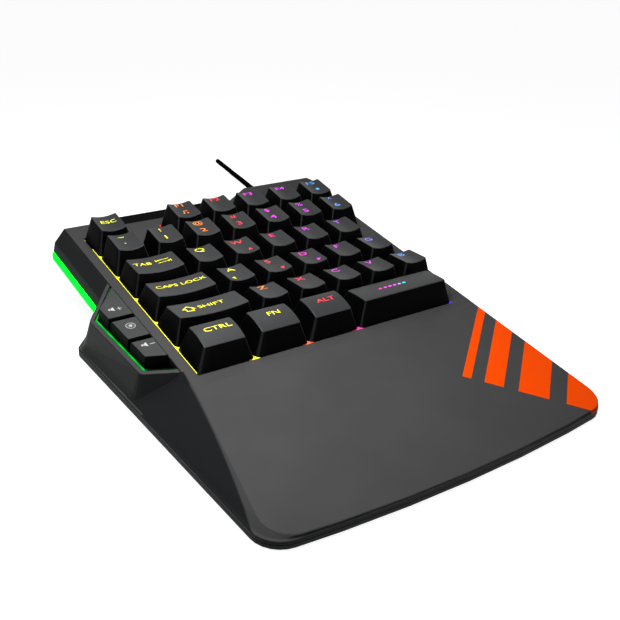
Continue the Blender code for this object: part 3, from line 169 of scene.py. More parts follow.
# %% Make the cord
cord_curve = bpy.data.curves.new("usb_cord", "CURVE")
cord_curve.dimensions = "3D"
cord_curve.bevel_depth = 1
cord_curve.bevel_resolution = 4
cord_curve.use_fill_caps = True
spline = cord_curve.splines.new("POLY")
spline.points.add(len(route) - 1)
for knot, point in zip(spline.points, route):
    knot.co, knot.radius = (*point, 1), CORD_RADIUS
spline.use_smooth = True
cord = bpy.data.objects.new("usb_cord", cord_curve)
bpy.context.scene.collection.objects.link(cord)
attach(cord, "case")
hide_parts("cable", "cable_coil")
print("cord thickness, mm", 2000 * CORD_RADIUS)

# %% [markdown]
# ## Nodes and colours
# Materials and the world are trees of nodes. A few helpers keep them short: one turns a hex colour
# into Blender's linear values, one adds a node and links its inputs, and one mixes two colours.

# %% Helpers for nodes and colours
def linear(colour):
    """A Blender colour from an sRGB hex value."""
    parts = [int(colour[i : i + 2], 16) / 255 for i in (1, 3, 5)]
    return (*[c / 12.92 if c <= 0.04045 else ((c + 0.055) / 1.055) ** 2.4 for c in parts], 1)


def add(tree, kind, inputs=None, **settings):
    """A new node; each input is given a value, an output, or a node for its first output."""
    node = tree.nodes.new("ShaderNode" + kind)
    for name, value in settings.items():
        setattr(node, name, value)
    for name, value in (inputs or {}).items():
        if isinstance(value, bpy.types.Node):
            value = value.outputs[0]
        if isinstance(value, bpy.types.NodeSocket):
            tree.links.new(value, node.inputs[name])
        else:
            node.inputs[name].default_value = value
    return node


def mixed(tree, factor, first, second):
    """A colour between two, each a value or another node's output."""
    return add(tree, "Mix", {"Factor": factor, 6: first, 7: second}, data_type="RGBA").outputs[2]


def new_finish(name):
    """An empty material with its Principled shader; returns the material, its tree and the shader."""
    made = bpy.data.materials.new(name)
    made.use_nodes = True
    return made, made.node_tree, made.node_tree.nodes["Principled BSDF"]


def background_seen(tree):
    """One where the camera sees the surface, directly or reflected, and none for the light it gives."""
    seen = add(tree, "LightPath").outputs
    either = add(tree, "Math", {0: seen["Is Camera Ray"], 1: seen["Is Glossy Ray"]}, operation="MAXIMUM")
    return add(tree, "Math", {0: either, 1: seen["Is Transmission Ray"]}, operation="MAXIMUM").outputs[0]


print("half grey in linear light", round(linear("#808080")[0], 3))

# %% [markdown]
# ## Floor and light
# A product shot on white needs a floor that reads as white and a light with no hard edge. The world
# is brightest overhead and fades to the horizon, so tops are lit and walls fall away, as in the
# photograph. What the camera sees low down is a white sweep instead. The floor is white to the eye
# but gives back little light, which keeps the walls dark. Three square lamps stand at the left,
# above, and low in front.

# %% Set up the studio
HORIZON_GLOW, ZENITH_GLOW = 0.03, 0.15
SWEEP_LOW, SWEEP_HIGH = 0.38, 0.55

scene = bpy.context.scene
scene.view_settings.view_transform = "Standard"
world = bpy.data.worlds.new("studio")
world.use_nodes = True
scene.world = world
sky = world.node_tree
direction = add(sky, "TexCoord").outputs["Generated"]
height = add(sky, "SeparateXYZ", {"Vector": direction}).outputs["Z"]
glow = add(sky, "MapRange", {"Value": height, "To Min": HORIZON_GLOW, "To Max": ZENITH_GLOW})
fading = {"From Min": SWEEP_LOW, "From Max": SWEEP_HIGH, "To Min": 1, "To Max": 0}
low = add(sky, "MapRange", {"Value": height, **fading})
sweep = add(sky, "Math", {0: low, 1: background_seen(sky)}, operation="MULTIPLY")
brighter = add(sky, "Math", {0: glow, 1: sweep}, operation="MAXIMUM")
sky.nodes["Background"].inputs["Color"].default_value = linear("#ffffff")
sky.links.new(brighter.outputs[0], sky.nodes["Background"].inputs["Strength"])

bpy.ops.object.select_all(action="DESELECT")
bpy.ops.mesh.primitive_plane_add(size=30, location=(0, 0, 0))
floor = bpy.context.object
floor.name = "studio_floor"
paper, tree, shader = new_finish("studio_paper")
seen = background_seen(tree)
tree.links.new(mixed(tree, seen, linear("#5a5a5a"), linear("#c8c8c8")), shader.inputs["Base Color"])
shader.inputs["Emission Color"].default_value = linear("#f4f4f4")
tree.links.new(seen, shader.inputs["Emission Strength"])
shader.inputs["Roughness"].default_value = 1
shader.inputs["Specular IOR Level"].default_value = 0
floor.data.materials.append(paper)


def softbox(name, place, size, power):
    """A square lamp in the studio that points at the keypad."""
    lamp = bpy.data.lights.new(name, "AREA")
    lamp.shape, lamp.size, lamp.energy = "SQUARE", size, power
    made = bpy.data.objects.new(name, lamp)
    scene.collection.objects.link(made)
    made.location = place
    made.rotation_euler = (-made.location).to_track_quat("-Z", "Y").to_euler()


softbox("softbox_left", place=(-0.08, -0.04, 0.20), size=0.1, power=0.52)
softbox("softbox_above", place=(0.02, 0.10, 0.28), size=0.15, power=0.25)
softbox("softbox_front", place=(0.0, -0.6, 0.03), size=0.1, power=0.7)
print("studio set, lamps", len(bpy.data.lights))

# %% [markdown]
# ## Finishes
# Most of the keypad is moulded ABS with a fine spark-eroded texture, which spreads its highlights
# and hides finger marks. One function sets up such a texture from its grain in millimetres; the
# Bevel node rounds the solids' sharp edges in the shading, so they catch a thin line of light.

# %% Moulded plastic
CLOUD_SCALE, CLOUD_RANGE = 45, (0.3, 0.7)
POLISH_SPREAD = 0.06


def textured(tree, shader, grain, depth, edge):
    """A moulded surface: grain and depth in mm, and edges rounded by a radius in mm."""
    place = add(tree, "TexCoord").outputs["Object"]
    pebble = add(tree, "TexNoise", {"Vector": place, "Scale": 1000 / grain, "Detail": 3})
    rounded = add(tree, "Bevel", {"Radius": edge / 1000}, samples=6)
    bump = add(tree, "Bump", {"Height": pebble, "Distance": depth / 1000, "Normal": rounded})
    tree.links.new(bump.outputs[0], shader.inputs["Normal"])
    return place, pebble.outputs["Fac"]


def moulded_abs(name, colour, lighter, roughness, grain=0.35, depth=0.012, edge=0.35, gloss=0.5):
    """Injection-moulded ABS with an eroded texture and a faint cloudiness in its colour."""
    made, tree, shader = new_finish(name)
    place, pebble = textured(tree, shader, grain, depth, edge)
    cloud = add(tree, "TexNoise", {"Vector": place, "Scale": CLOUD_SCALE, "Detail": 2})
    tint = add(tree, "ValToRGB", {"Fac": cloud.outputs["Fac"]})
    for element, position, tone in zip(tint.color_ramp.elements, CLOUD_RANGE, (colour, lighter)):
        element.position, element.color = position, linear(tone)
    tree.links.new(tint.outputs["Color"], shader.inputs["Base Color"])
    spread = {"To Min": roughness - POLISH_SPREAD, "To Max": roughness + POLISH_SPREAD}
    polish = add(tree, "MapRange", {"Value": pebble, **spread})
    tree.links.new(polish.outputs["Result"], shader.inputs["Roughness"])
    shader.inputs["IOR"].default_value = 1.5
    shader.inputs["Specular IOR Level"].default_value = gloss
    return made


# Painted light: the caps are black, and their satin tops are painted a lighter grey than the walls.
cap_top_satin_painted_lit = moulded_abs("keycap_abs_satin", "#313233", "#353637", 0.42, 0.25, 0.004, edge=0.1, gloss=0.25)
cap_wall_abs = moulded_abs("keycap_abs_black", "#030303", "#050505", 0.35, 0.3, 0.004, edge=0.25, gloss=0.015)
base_abs = moulded_abs("base_abs_textured", "#303334", "#353839", 0.55, gloss=0.05)
case_abs = moulded_abs("case_abs_matte", "#424242", "#464646", 0.5, edge=0.7, gloss=0.05)
media_abs = moulded_abs("media_key_abs_matte", "#414242", "#454646", 0.5, edge=0.2, gloss=0.03)
# Painted highlight: a lighter grey on the caps' vertical corners, where two walls meet.
cap_corner_painted_highlight = moulded_abs("keycap_abs_rubbed", "#131415", "#171819", 0.4, 0.3, 0.004, edge=0.1, gloss=0.08)
rubber = moulded_abs("foot_rubber", "#0d0d0d", "#121212", 0.75, 0.6, 0.03)
jacket = moulded_abs("cord_pvc", "#080808", "#0b0b0b", 0.6, 0.5, 0.006, edge=0.1, gloss=0.0)
# Painted shade: the rear inlay's near-black stands for the shadow of the recess behind the top row of keys.
inlay_gloss_painted_shade = moulded_abs("inlay_abs_gloss", "#08080a", "#0a0a0c", 0.3, 2.0, 0.002, edge=0.2, gloss=0.04)
film = moulded_abs("membrane_polyester_film", "#7c8588", "#868f92", 0.3, 3.0, 0.004, edge=0.05)
solder_mask = moulded_abs("board_fibreglass_epoxy", "#0f3a22", "#124428", 0.35, 1.2, 0.01, edge=0.1)
silicone = moulded_abs("dome_silicone", "#b9bcbd", "#c6c9ca", 0.5, 1.0, 0.01, edge=0.3)
print("moulded finishes", len(bpy.data.materials))

# %% [markdown]
# The case is one moulding of one plastic, and its steep walls are painted darker than the matte top:
# painted shade for the light that falls from above. Behind the palm rest the surface's own direction,
# set against the deck's, tells the two apart; the raised back is steep too, but it keeps the top's
# colour. Along the palm rest the top ends at a crease that swings out towards the front, so a formula
# gives it. Each pair of facings says where the top's colour gives way to the painted shade, from 0 on a wall
# to 1.

# %% Painted shade on the case's walls
FACING_RADIUS = 0.0006
DECK_NORMAL = DECK.to_3x3() @ Vector((0, 0, 1))
CREASE_START = level(-0.0045, 0, 0)
CREASE_LEAN, CREASE_BEND = 0.15, 0.85
WING_FRONT = level(0, 0.0045, 0).y
RAISED_BACK = level(0.02, 0.115, 0)
CREASE_BLUR = 0.0003
PALM_FACING, DECK_FACING = (0.4, 0.55), (0.84, 0.95)


def crease_distance(tree, place):
    """How far a point lies to the right of the palm rest's left crease."""
    back = add(tree, "Math", {0: place.outputs["Y"], 1: CREASE_START.y}, operation="SUBTRACT")
    lean = add(tree, "Math", {0: back, 1: -CREASE_BEND, 2: CREASE_LEAN}, operation="MULTIPLY_ADD")
    line = add(tree, "Math", {0: back, 1: lean, 2: CREASE_START.x}, operation="MULTIPLY_ADD")
    return add(tree, "Math", {0: place.outputs["X"], 1: line}, operation="SUBTRACT")


def deck_share(tree, low, high):
    """From 0 on walls to 1 where a face lies along the deck."""
    facing = add(tree, "Bevel", {"Radius": FACING_RADIUS}, samples=6)
    upward = add(tree, "VectorMath", {0: facing, 1: DECK_NORMAL}, operation="DOT_PRODUCT")
    return add(tree, "MapRange", {"Value": upward.outputs["Value"], "From Min": low, "From Max": high})


def paint_wall_shade(made, wall_shade_colour):
    """Paints shade on the walls of a moulding as a darker colour; returns its tree and the split place."""
    tree = made.node_tree
    shader = tree.nodes["Principled BSDF"]
    cloudy = shader.inputs["Base Color"].links[0].from_socket
    place = add(tree, "SeparateXYZ", {"Vector": add(tree, "TexCoord").outputs["Object"]})
    past = {"Value": crease_distance(tree, place), "From Min": -CREASE_BLUR, "From Max": CREASE_BLUR}
    over = add(tree, "MapRange", past)
    palm = add(tree, "Math", {0: over, 1: deck_share(tree, *PALM_FACING)}, operation="MULTIPLY")
    raised = add(tree, "Math", {0: place.outputs["Y"], 1: RAISED_BACK.y}, operation="GREATER_THAN")
    right = add(tree, "Math", {0: place.outputs["X"], 1: RAISED_BACK.x}, operation="GREATER_THAN")
    raised = add(tree, "Math", {0: raised, 1: right}, operation="MULTIPLY")
    deck = add(tree, "Math", {0: deck_share(tree, *DECK_FACING), 1: raised}, operation="MAXIMUM")
    behind = add(tree, "Math", {0: place.outputs["Y"], 1: WING_FRONT}, operation="GREATER_THAN")
    top = add(tree, "Mix", {"Factor": behind, 2: palm, 3: deck})
    tree.links.new(mixed(tree, top, linear(wall_shade_colour), cloudy), shader.inputs["Base Color"])
    return tree, place


# Painted shade: the steep walls of the media keys and of the case are coloured darker than their tops.
paint_wall_shade(media_abs, "#050505")
tree, place = paint_wall_shade(case_abs, "#1a1b1c")
print("deck faces", [round(v, 3) for v in DECK_NORMAL])

# %% [markdown]
# The palm rest is not quite flat: it rounds over before the crease, and behind it a strip along the
# keys lies a little lower. Both are only tenths of a millimetre, so they are bumps and not shapes.

# %% Round the palm rest over
PALM_ROUNDING = 0.006
SWELL_HEIGHT = 0.0003
LOW_STRIP_FRONT, LOW_STRIP_BACK = level(0, -0.0052, 0).y, level(0, -0.0040, 0).y
LOW_STRIP_SHARE = 0.6

shade = next(node for node in tree.nodes if node.bl_idname == "ShaderNodeBump")
rounded_edges = shade.inputs["Normal"].links[0].from_socket
eased = {"interpolation_type": "SMOOTHSTEP"}
crown = add(tree, "MapRange", {"Value": crease_distance(tree, place), "From Max": PALM_ROUNDING}, **eased)
ledge = {"From Min": LOW_STRIP_FRONT, "From Max": LOW_STRIP_BACK, "To Min": 1.0, "To Max": LOW_STRIP_SHARE}
sunk = add(tree, "MapRange", {"Value": place.outputs["Y"], **ledge}, **eased)
swell = add(tree, "Math", {0: crown, 1: sunk}, operation="MULTIPLY")
soft = add(tree, "Bump", {"Height": swell, "Distance": SWELL_HEIGHT, "Normal": rounded_edges})
tree.links.new(soft.outputs[0], shade.inputs["Normal"])
print("palm rest rounds over", 1000 * PALM_ROUNDING, "mm")

# %% [markdown]
# ## The print on the palm rest
# The real palm rest carries an orange print at its right front corner. A plain set of slanting
# bars in the same orange stands there. It is part of the finish, so it follows the rounded edge.
# The pattern's own ruler starts at the corner of the print and is turned along the bars, which
# stand at shares of its width.

# %% Print slanting bars
PRINT_CORNER = level(0.105, -0.015, 0)
PRINT_TURN = math.radians(-50)
PRINT_WIDTH = 0.075
PRINT_REACH = 0.35
PRINT_FACING = (0.5, 0.6)
BARS = ((0.20, 0.25), (0.32, 0.42), (0.50, 0.66), (0.75, 0.98))

shader = tree.nodes["Principled BSDF"]
plain = shader.inputs["Base Color"].links[0].from_socket
ruler = add(tree, "Mapping", {"Vector": add(tree, "TexCoord").outputs["Object"]}, vector_type="TEXTURE")
ruler.inputs["Location"].default_value = PRINT_CORNER
ruler.inputs["Rotation"].default_value = (0, 0, PRINT_TURN)
ruler.inputs["Scale"].default_value = (PRINT_WIDTH, PRINT_WIDTH, PRINT_WIDTH)
split = add(tree, "SeparateXYZ", {"Vector": ruler.outputs[0]})
bars = add(tree, "ValToRGB", {"Fac": split.outputs["X"]})
bars.color_ramp.interpolation = "CONSTANT"
bars.color_ramp.elements.remove(bars.color_ramp.elements[1])
bars.color_ramp.elements[0].color = (0, 0, 0, 1)
for start, end in BARS:
    bars.color_ramp.elements.new(start).color = (1, 1, 1, 1)
    bars.color_ramp.elements.new(end).color = (0, 0, 0, 1)
reach = add(tree, "Math", {0: split.outputs["Y"], 1: -PRINT_REACH}, operation="GREATER_THAN")
inked = add(tree, "Math", {0: bars, 1: reach}, operation="MULTIPLY")
inked = add(tree, "Math", {0: inked, 1: deck_share(tree, *PRINT_FACING)}, operation="MULTIPLY")
tree.links.new(mixed(tree, inked, plain, linear("#ff4e00")), shader.inputs["Base Color"])
print("printed bars", len(BARS))

# %% [markdown]
# Steel and tin are metals, so their colour is all in the reflection. Zinc-plated sheet shows a faint
# spangle of crystals a few millimetres wide; the plug's tinned shell is brushed along its length.

# %% Metals
CRYSTAL_SPREAD = 0.15
METAL_EDGE = 0.0002


def metal(name, colour, roughness, grain):
    """Plated metal whose grain, in mm along each axis, varies its polish."""
    made, tree, shader = new_finish(name)
    place = add(tree, "TexCoord").outputs["Object"]
    scaled = add(tree, "Mapping", {"Vector": place, "Scale": [1000 / size for size in grain]})
    crystals = add(tree, "TexVoronoi", {"Vector": scaled.outputs[0], "Scale": 1})
    spread = {"To Min": roughness, "To Max": roughness + CRYSTAL_SPREAD}
    polish = add(tree, "MapRange", {"Value": crystals, **spread})
    tree.links.new(polish.outputs["Result"], shader.inputs["Roughness"])
    rounded = add(tree, "Bevel", {"Radius": METAL_EDGE}, samples=6)
    tree.links.new(rounded.outputs[0], shader.inputs["Normal"])
    shader.inputs["Base Color"].default_value = linear(colour)
    shader.inputs["Metallic"].default_value = 1
    return made


zinc = metal("back_plate_zinc_steel", "#b4b7b8", 0.35, (4, 4, 4))
tin = metal("plug_tin_brushed", "#c8c9cb", 0.22, (3, 0.15, 0.15))
spring = metal("wire_spring_steel", "#a3a4a6", 0.25, (0.2, 2, 2))
print("metals", zinc.name, tin.name, spring.name)

# %% [markdown]
# The light guides are clear acrylic with light-emitting diodes behind them, so each bar glows a
# little brighter in front of a diode. The one in the wing is lit along its long side only: its
# front arm stays dark but for its far end, and its rear arm fades. A ramp from front to back says how
# much. This guide's walls are painted over, so its light comes out at the top.

# %% Lit acrylic
GUIDE_FRONT, GUIDE_BACK = level(0, 0.007, 0).y, level(0, 0.071, 0).y
GUIDE_FACING = (0.3, 0.8)
WING_ARMS = ((0, 1), (0.012, 1), (0.02, 0.02), (0.12, 0.02), (0.14, 1), (0.8, 1), (0.9, 0.5), (1, 0.05))
SIDE_SPACING, WING_SPACING = 14, 9
BAND_SCALE = 0.31  # with this scale a wave texture has one band a unit
DIMMER, BRIGHTER = 0.75, 1.25


def lit_acrylic(name, colour, strength, spacing, unlit, arms=((0, 1), (1, 1))):
    """Acrylic lit from behind by diodes spacing mm apart; arms gives the light's share along the bar."""
    made, tree, shader = new_finish(name)
    place = add(tree, "TexCoord").outputs["Object"]
    scaled = add(tree, "Mapping", {"Vector": place, "Scale": (0, 1000 / spacing, 0)})
    diodes = add(tree, "TexWave", {"Vector": scaled, "Scale": BAND_SCALE}, bands_direction="Y")
    waver = {"To Min": DIMMER * strength, "To Max": BRIGHTER * strength}
    power = add(tree, "MapRange", {"Value": diodes.outputs["Fac"], **waver})
    along = add(tree, "SeparateXYZ", {"Vector": place}).outputs["Y"]
    ends = {"From Min": GUIDE_FRONT, "From Max": GUIDE_BACK}
    share = add(tree, "ValToRGB", {"Fac": add(tree, "MapRange", {"Value": along, **ends})})
    while len(share.color_ramp.elements) < len(arms):
        share.color_ramp.elements.new(0.5)
    for element, (position, value) in zip(share.color_ramp.elements, arms):
        element.position, element.color = position, (value, value, value, 1)
    power = add(tree, "Math", {0: power, 1: share}, operation="MULTIPLY")
    tree.links.new(power.outputs[0], shader.inputs["Emission Strength"])
    shader.inputs["Emission Color"].default_value = linear(colour)
    shader.inputs["Base Color"].default_value = linear(unlit)
    shader.inputs["Roughness"].default_value = 0.25
    shader.inputs["Specular IOR Level"].default_value = 0.0
    return made


side_glow = lit_acrylic("side_acrylic_lit_green", "#04ff1d", 5.0, SIDE_SPACING, "#0a5a20")
thin_glow = lit_acrylic("media_acrylic_lit_green", "#00e838", 0.8, WING_SPACING, "#06130a", WING_ARMS)
tree, shader = thin_glow.node_tree, thin_glow.node_tree.nodes["Principled BSDF"]
inside = shader.inputs["Emission Strength"].links[0].from_socket
out = add(tree, "Math", {0: inside, 1: deck_share(tree, *GUIDE_FACING)}, operation="MULTIPLY")
tree.links.new(out.outputs[0], shader.inputs["Emission Strength"])
print("diodes stand", SIDE_SPACING, "and", WING_SPACING, "mm apart")

# %% [markdown]
# Every solid of the model keeps its shape and gets the finish of its real material by its slots.

# %% Give each CAD node its finish
FINISHES = {
    case_abs: ["top_case"],
    base_abs: ["bottom_case", "key_plate"],
    media_abs: ["key_volume_up", "key_light", "key_volume_down"],
    rubber: ["foot_pad_front_left", "foot_pad_front_right", "foot_pad_rear_left", "foot_pad_rear_right"],
    jacket: ["strain_relief", "plug_grip"],
    inlay_gloss_painted_shade: ["rear_inlay"],
    film: ["membrane_circuit"],
    silicone: ["dome_sheet"],
    solder_mask: ["controller_board", "media_board"],
    zinc: ["back_plate"],
    tin: ["plug_shell"],
    spring: ["space_bar_wire"],
    side_glow: ["side_light_guide"],
    thin_glow: ["media_light_guide"],
}
for finish, names in FINISHES.items():
    for name in names:
        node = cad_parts[name]
        if not node.data.materials:
            node.data.materials.append(finish)
        for index in range(len(node.data.materials)):
            node.data.materials[index] = finish
cord.data.materials.append(jacket)
print("finished nodes", sum(len(names) for names in FINISHES.values()))

# %% [markdown]
# ## Keycaps
# A keycap is a hollow tapered box whose top is dished across its width, so that a fingertip finds
# the middle; the front row is crowned instead, for the thumb. The cap could be cut from a block with
# Booleans, but a grid that is bent first and then extruded down keeps even faces, which shade
# smoothly. Each row has its own profile, measured from the photograph.

# %% Sizes of the caps
CAP_GAP = 0.0009
CAP_HEIGHT = 0.0113
DISH = 0.0011
FRONT_CROWN, SPACE_CROWN = 0.0009, 0.0003
INSET, FRONT_INSET = 0.0031, 0.0034
# Names and widths in the pitch, from the front row to the rear; the empty name is a gap
KEY_ROWS = (
    (("ctrl", 4 / 3), ("fn", 4 / 3), ("alt", 4 / 3), ("space", 2.75)),
    (("shift", 2), ("z", 1), ("x", 1), ("c", 1), ("v", 1), ("b", 1)),
    (("caps_lock", 1.75), ("a", 1), ("s", 1), ("d", 1), ("f", 1), ("g", 1)),
    (("tab", 1.5), ("q", 1), ("w", 1), ("e", 1), ("r", 1), ("t", 1)),
    (("grave", 1), ("1", 1), ("2", 1), ("3", 1), ("4", 1), ("5", 1), ("6", 1)),
    (("esc", 1), ("", 1), ("f1", 1), ("f2", 1), ("f3", 1), ("f4", 1), ("f5", 1)),
)
# Each row's top: where its front and back edges stand in the pitch, and their heights in the cap's height
ROW_TOPS = (
    (0.177, 0.858, 0.835, 0.948), (0.206, 0.853, 0.973, 0.798), (0.200, 0.878, 0.866, 0.753),
    (0.231, 0.913, 0.856, 0.821), (0.280, 0.955, 0.944, 0.996), (0.291, 0.955, 0.928, 0.992),
)
SPACE_TOP = (0.205, 0.871, 0.956, 0.770)


class CapShape:
    """The form of one cap over its own centre on the deck."""

    def __init__(self, name, row, centre_x, width):
        front, back, front_height, back_height = SPACE_TOP if name == "space" else ROW_TOPS[row]
        self.name, self.x, self.y = name, centre_x, PITCH * (row + 0.5)
        self.front, self.back = PITCH * (front - 0.5), PITCH * (back - 0.5)
        self.low, self.high = CAP_HEIGHT * front_height, CAP_HEIGHT * back_height
        self.dish = DISH if row else 0
        self.crown = 0 if row else (SPACE_CROWN if name == "space" else FRONT_CROWN)
        self.half_foot, self.half_depth = (width - CAP_GAP) / 2, (PITCH - CAP_GAP) / 2
        self.half_top = self.half_foot - (INSET if row else FRONT_INSET)

    def top(self, s, t):
        """The point of the top at share s across, from -1 to 1, and share t from front to back."""
        sag = self.dish * (1 - s * s)
        front = self.front - (self.front + self.half_depth) * sag / self.low
        back = self.back + (self.half_depth - self.back) * sag / self.high
        height = self.low + (self.high - self.low) * t - sag + 4 * self.crown * t * (1 - t)
        return Vector((s * self.half_top, front + (back - front) * t, height))


CAPS = []
for row, keys in enumerate(KEY_ROWS):
    left = 0
    for name, share in keys:
        if name:
            CAPS.append(CapShape(name, row, left + share * PITCH / 2, share * PITCH))
        left += share * PITCH
print("caps", len(CAPS))

# %% [markdown]
# A grid primitive is the top. Its lines stand close together near the edges, where the corners are
# rounded, and further apart in the middle. Helpers for this come first, with three for any piece:
# to select it alone, to apply its modifiers and to put its place into its mesh.

# %% Lines of the grid, and helpers for pieces
TOP_CORNER, FOOT_CORNER = 0.0008, 0.0015
COLUMN_WIDTH, MIDDLE_ROWS, CORNER_STEPS = 0.0016, 5, 3


def line_shares(size, radius, middle):
    """Where the grid's lines stand along one side, as shares of it."""
    near = [radius / size * step / CORNER_STEPS for step in range(CORNER_STEPS + 1)]
    inner = [near[-1] + (1 - 2 * near[-1]) * step / middle for step in range(1, middle)]
    return [*near, *inner, *[1 - share for share in reversed(near)]]


def rounded_place(across, along, half_across, half_along, radius):
    """A point of a rectangle, pulled onto the corner's arc if it lies in a corner."""
    over_x = max(abs(across) - (half_across - radius), 0)
    over_y = max(abs(along) - (half_along - radius), 0)
    if over_x and over_y:
        pull = 1 - max(over_x, over_y) / math.hypot(over_x, over_y)
        across -= math.copysign(over_x * pull, across)
        along -= math.copysign(over_y * pull, along)
    return across, along


def select_only(piece):
    """Makes the piece the only one that operators act on."""
    bpy.ops.object.select_all(action="DESELECT")
    piece.select_set(True)
    bpy.context.view_layer.objects.active = piece


def apply_modifiers(piece):
    """Makes the piece's mesh what its modifiers show."""
    select_only(piece)
    for modifier in list(piece.modifiers):
        bpy.ops.object.modifier_apply(modifier=modifier.name)


def settle(piece, place):
    """Puts the piece's place into its mesh and leaves its object at the origin."""
    piece.data.transform(place @ piece.matrix_basis)
    piece.data.update()
    piece.matrix_basis = Matrix.Identity(4)


print("grid lines over a cap's depth", len(line_shares(PITCH, TOP_CORNER, MIDDLE_ROWS)))

# %% [markdown]
# The grid's border is extruded once to become the four walls. A bevel modifier rounds the rim, and a
# solidify modifier gives the walls their thickness, inwards.
# Where two walls meet, a painted highlight lightens the corner, and the top is painted lighter than the
# walls.

# %% Bend a grid into a cap
WALL, RIM = 0.0007, 0.0004
UPWARD, DOWNWARD, SIDEWAYS = 0.5, -0.1, 0.3
SHARPEST_SMOOTH = math.radians(35)


def model_cap(shape):
    """One hollow cap over the origin: black walls, a top painted lighter, and corners with a painted
    highlight.
    """
    depth = shape.back - shape.front
    columns = line_shares(2 * shape.half_top, TOP_CORNER, max(4, round(shape.half_top / COLUMN_WIDTH)))
    rows = line_shares(depth, TOP_CORNER, MIDDLE_ROWS)
    bpy.ops.object.select_all(action="DESELECT")
    bpy.ops.mesh.primitive_grid_add(x_subdivisions=len(columns) - 1, y_subdivisions=len(rows) - 1, size=1)
    cap = bpy.context.object
    feet = []
    for vert in cap.data.vertices:
        s = 2 * columns[round((vert.co.x + 0.5) * (len(columns) - 1))] - 1
        t = rows[round((vert.co.y + 0.5) * (len(rows) - 1))]
        x, y = rounded_place(s * shape.half_top, (t - 0.5) * depth, shape.half_top, depth / 2, TOP_CORNER)
        vert.co = shape.top(x / shape.half_top, y / depth + 0.5)
        foot_x, foot_y = s * shape.half_foot, (2 * t - 1) * shape.half_depth
        feet.append(rounded_place(foot_x, foot_y, shape.half_foot, shape.half_depth, FOOT_CORNER))
    bpy.ops.object.mode_set(mode="EDIT")
    bpy.ops.mesh.select_all(action="SELECT")
    bpy.ops.mesh.region_to_loop()
    bpy.ops.transform.edge_bevelweight(value=1)
    bpy.ops.mesh.extrude_edges_move()
    bpy.ops.transform.edge_bevelweight(value=-1)
    bpy.ops.object.mode_set(mode="OBJECT")
    for edge in cap.data.edges:
        above, below = sorted(edge.vertices)
        if above < len(feet) <= below:
            cap.data.vertices[below].co = (*feet[above], 0)
    rim = cap.modifiers.new("rim", "BEVEL")
    rim.limit_method, rim.width, rim.segments = "WEIGHT", RIM, 3
    wall = cap.modifiers.new("wall", "SOLIDIFY")
    wall.thickness, wall.offset = WALL, -1
    apply_modifiers(cap)
    for finish in (cap_top_satin_painted_lit, cap_wall_abs, cap_corner_painted_highlight):
        cap.data.materials.append(finish)
    # The top's lighter grey and the corners' lighter line are painted light; the walls keep the caps' black.
    for face in cap.data.polygons:
        corner = face.normal.z > DOWNWARD and min(abs(face.normal.x), abs(face.normal.y)) > SIDEWAYS
        face.material_index = 0 if face.normal.z > UPWARD else 2 if corner else 1
    select_only(cap)
    bpy.ops.object.shade_smooth_by_angle(angle=SHARPEST_SMOOTH)
    return cap


print("cap walls", 1000 * WALL, "mm, rims", 1000 * RIM, "mm")

# %% [markdown]
# The square stem under a cap slides in a chimney of the key plate and presses the dome. Cap and stem
# are one moulding, so they are joined, and the whole takes the place of the model's plain key.

# %% Add the stems and place the caps
STEM, STEM_BOTTOM, STEM_TOP = 0.0056, -0.0055, 0.0075


def add_stem(cap):
    """The square stem under a cap, joined to it."""
    middle, length = (STEM_BOTTOM + STEM_TOP) / 2, STEM_TOP - STEM_BOTTOM
    bpy.ops.mesh.primitive_cube_add(size=1, location=(0, 0, middle), scale=(STEM, STEM, length))
    bpy.ops.object.transform_apply(location=True, scale=True)
    stem = bpy.context.object
    stem.data.materials.append(cap_wall_abs)
    select_only(cap)
    stem.select_set(True)
    bpy.ops.object.join()


for shape in CAPS:
    cap = model_cap(shape)
    add_stem(cap)
    cap.name = "cap_" + shape.name
    settle(cap, DECK @ Matrix.Translation((shape.x, shape.y, 0)))
    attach(cap, "key_" + shape.name)
    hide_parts("key_" + shape.name)
print("triangles in one cap", sum(len(face.vertices) - 2 for face in cap.data.polygons))

# %% [markdown]
# ## Domes
# Under each stem stands a silicone dome that gives way when its key is pressed. On the real sheet
# the domes are moulded with it. Here the sheet is a copy of the model's, cut flat, and each dome is a
# shell of its own, turned from its profile.

# %% Cut the sheet flat and turn the domes
SHEET_TOP, SHEET_CUT = -0.0094, -0.0095
DOME_PROFILE = ((4.6, 0), (4.2, 0.7), (3.2, 2.6), (2.9, 3.5), (2.5, 3.8), (0, 3.8))
DOME_WALL = 0.0003
DOME_SIDES = 24

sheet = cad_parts["dome_sheet"].copy()
sheet.data = sheet.data.copy()
sheet.name = "silicone_sheet"
scene.collection.objects.link(sheet)
select_only(sheet)
bpy.ops.object.mode_set(mode="EDIT")
bpy.ops.mesh.select_all(action="SELECT")
bpy.ops.mesh.remove_doubles(threshold=1e-6)
cut = DECK @ Vector((0, 0, SHEET_CUT))
bpy.ops.mesh.bisect(plane_co=cut, plane_no=DECK_NORMAL, use_fill=True, clear_outer=True)
bpy.ops.object.mode_set(mode="OBJECT")
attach(sheet, "case")
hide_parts("dome_sheet")


def turned_dome():
    """A thin dome standing on the origin, from its profile in mm."""
    mesh = bpy.data.meshes.new("dome")
    points = [(radius / 1000, 0, height / 1000) for radius, height in DOME_PROFILE]
    mesh.from_pydata(points, [(k, k + 1) for k in range(len(points) - 1)], [])
    made = bpy.data.objects.new("dome", mesh)
    scene.collection.objects.link(made)
    turn = made.modifiers.new("turn", "SCREW")
    turn.steps = turn.render_steps = DOME_SIDES
    turn.use_merge_vertices, turn.merge_threshold = True, 1e-5
    shell = made.modifiers.new("shell", "SOLIDIFY")
    shell.thickness, shell.offset = DOME_WALL, 1
    apply_modifiers(made)
    made.data.materials.append(silicone)
    return made


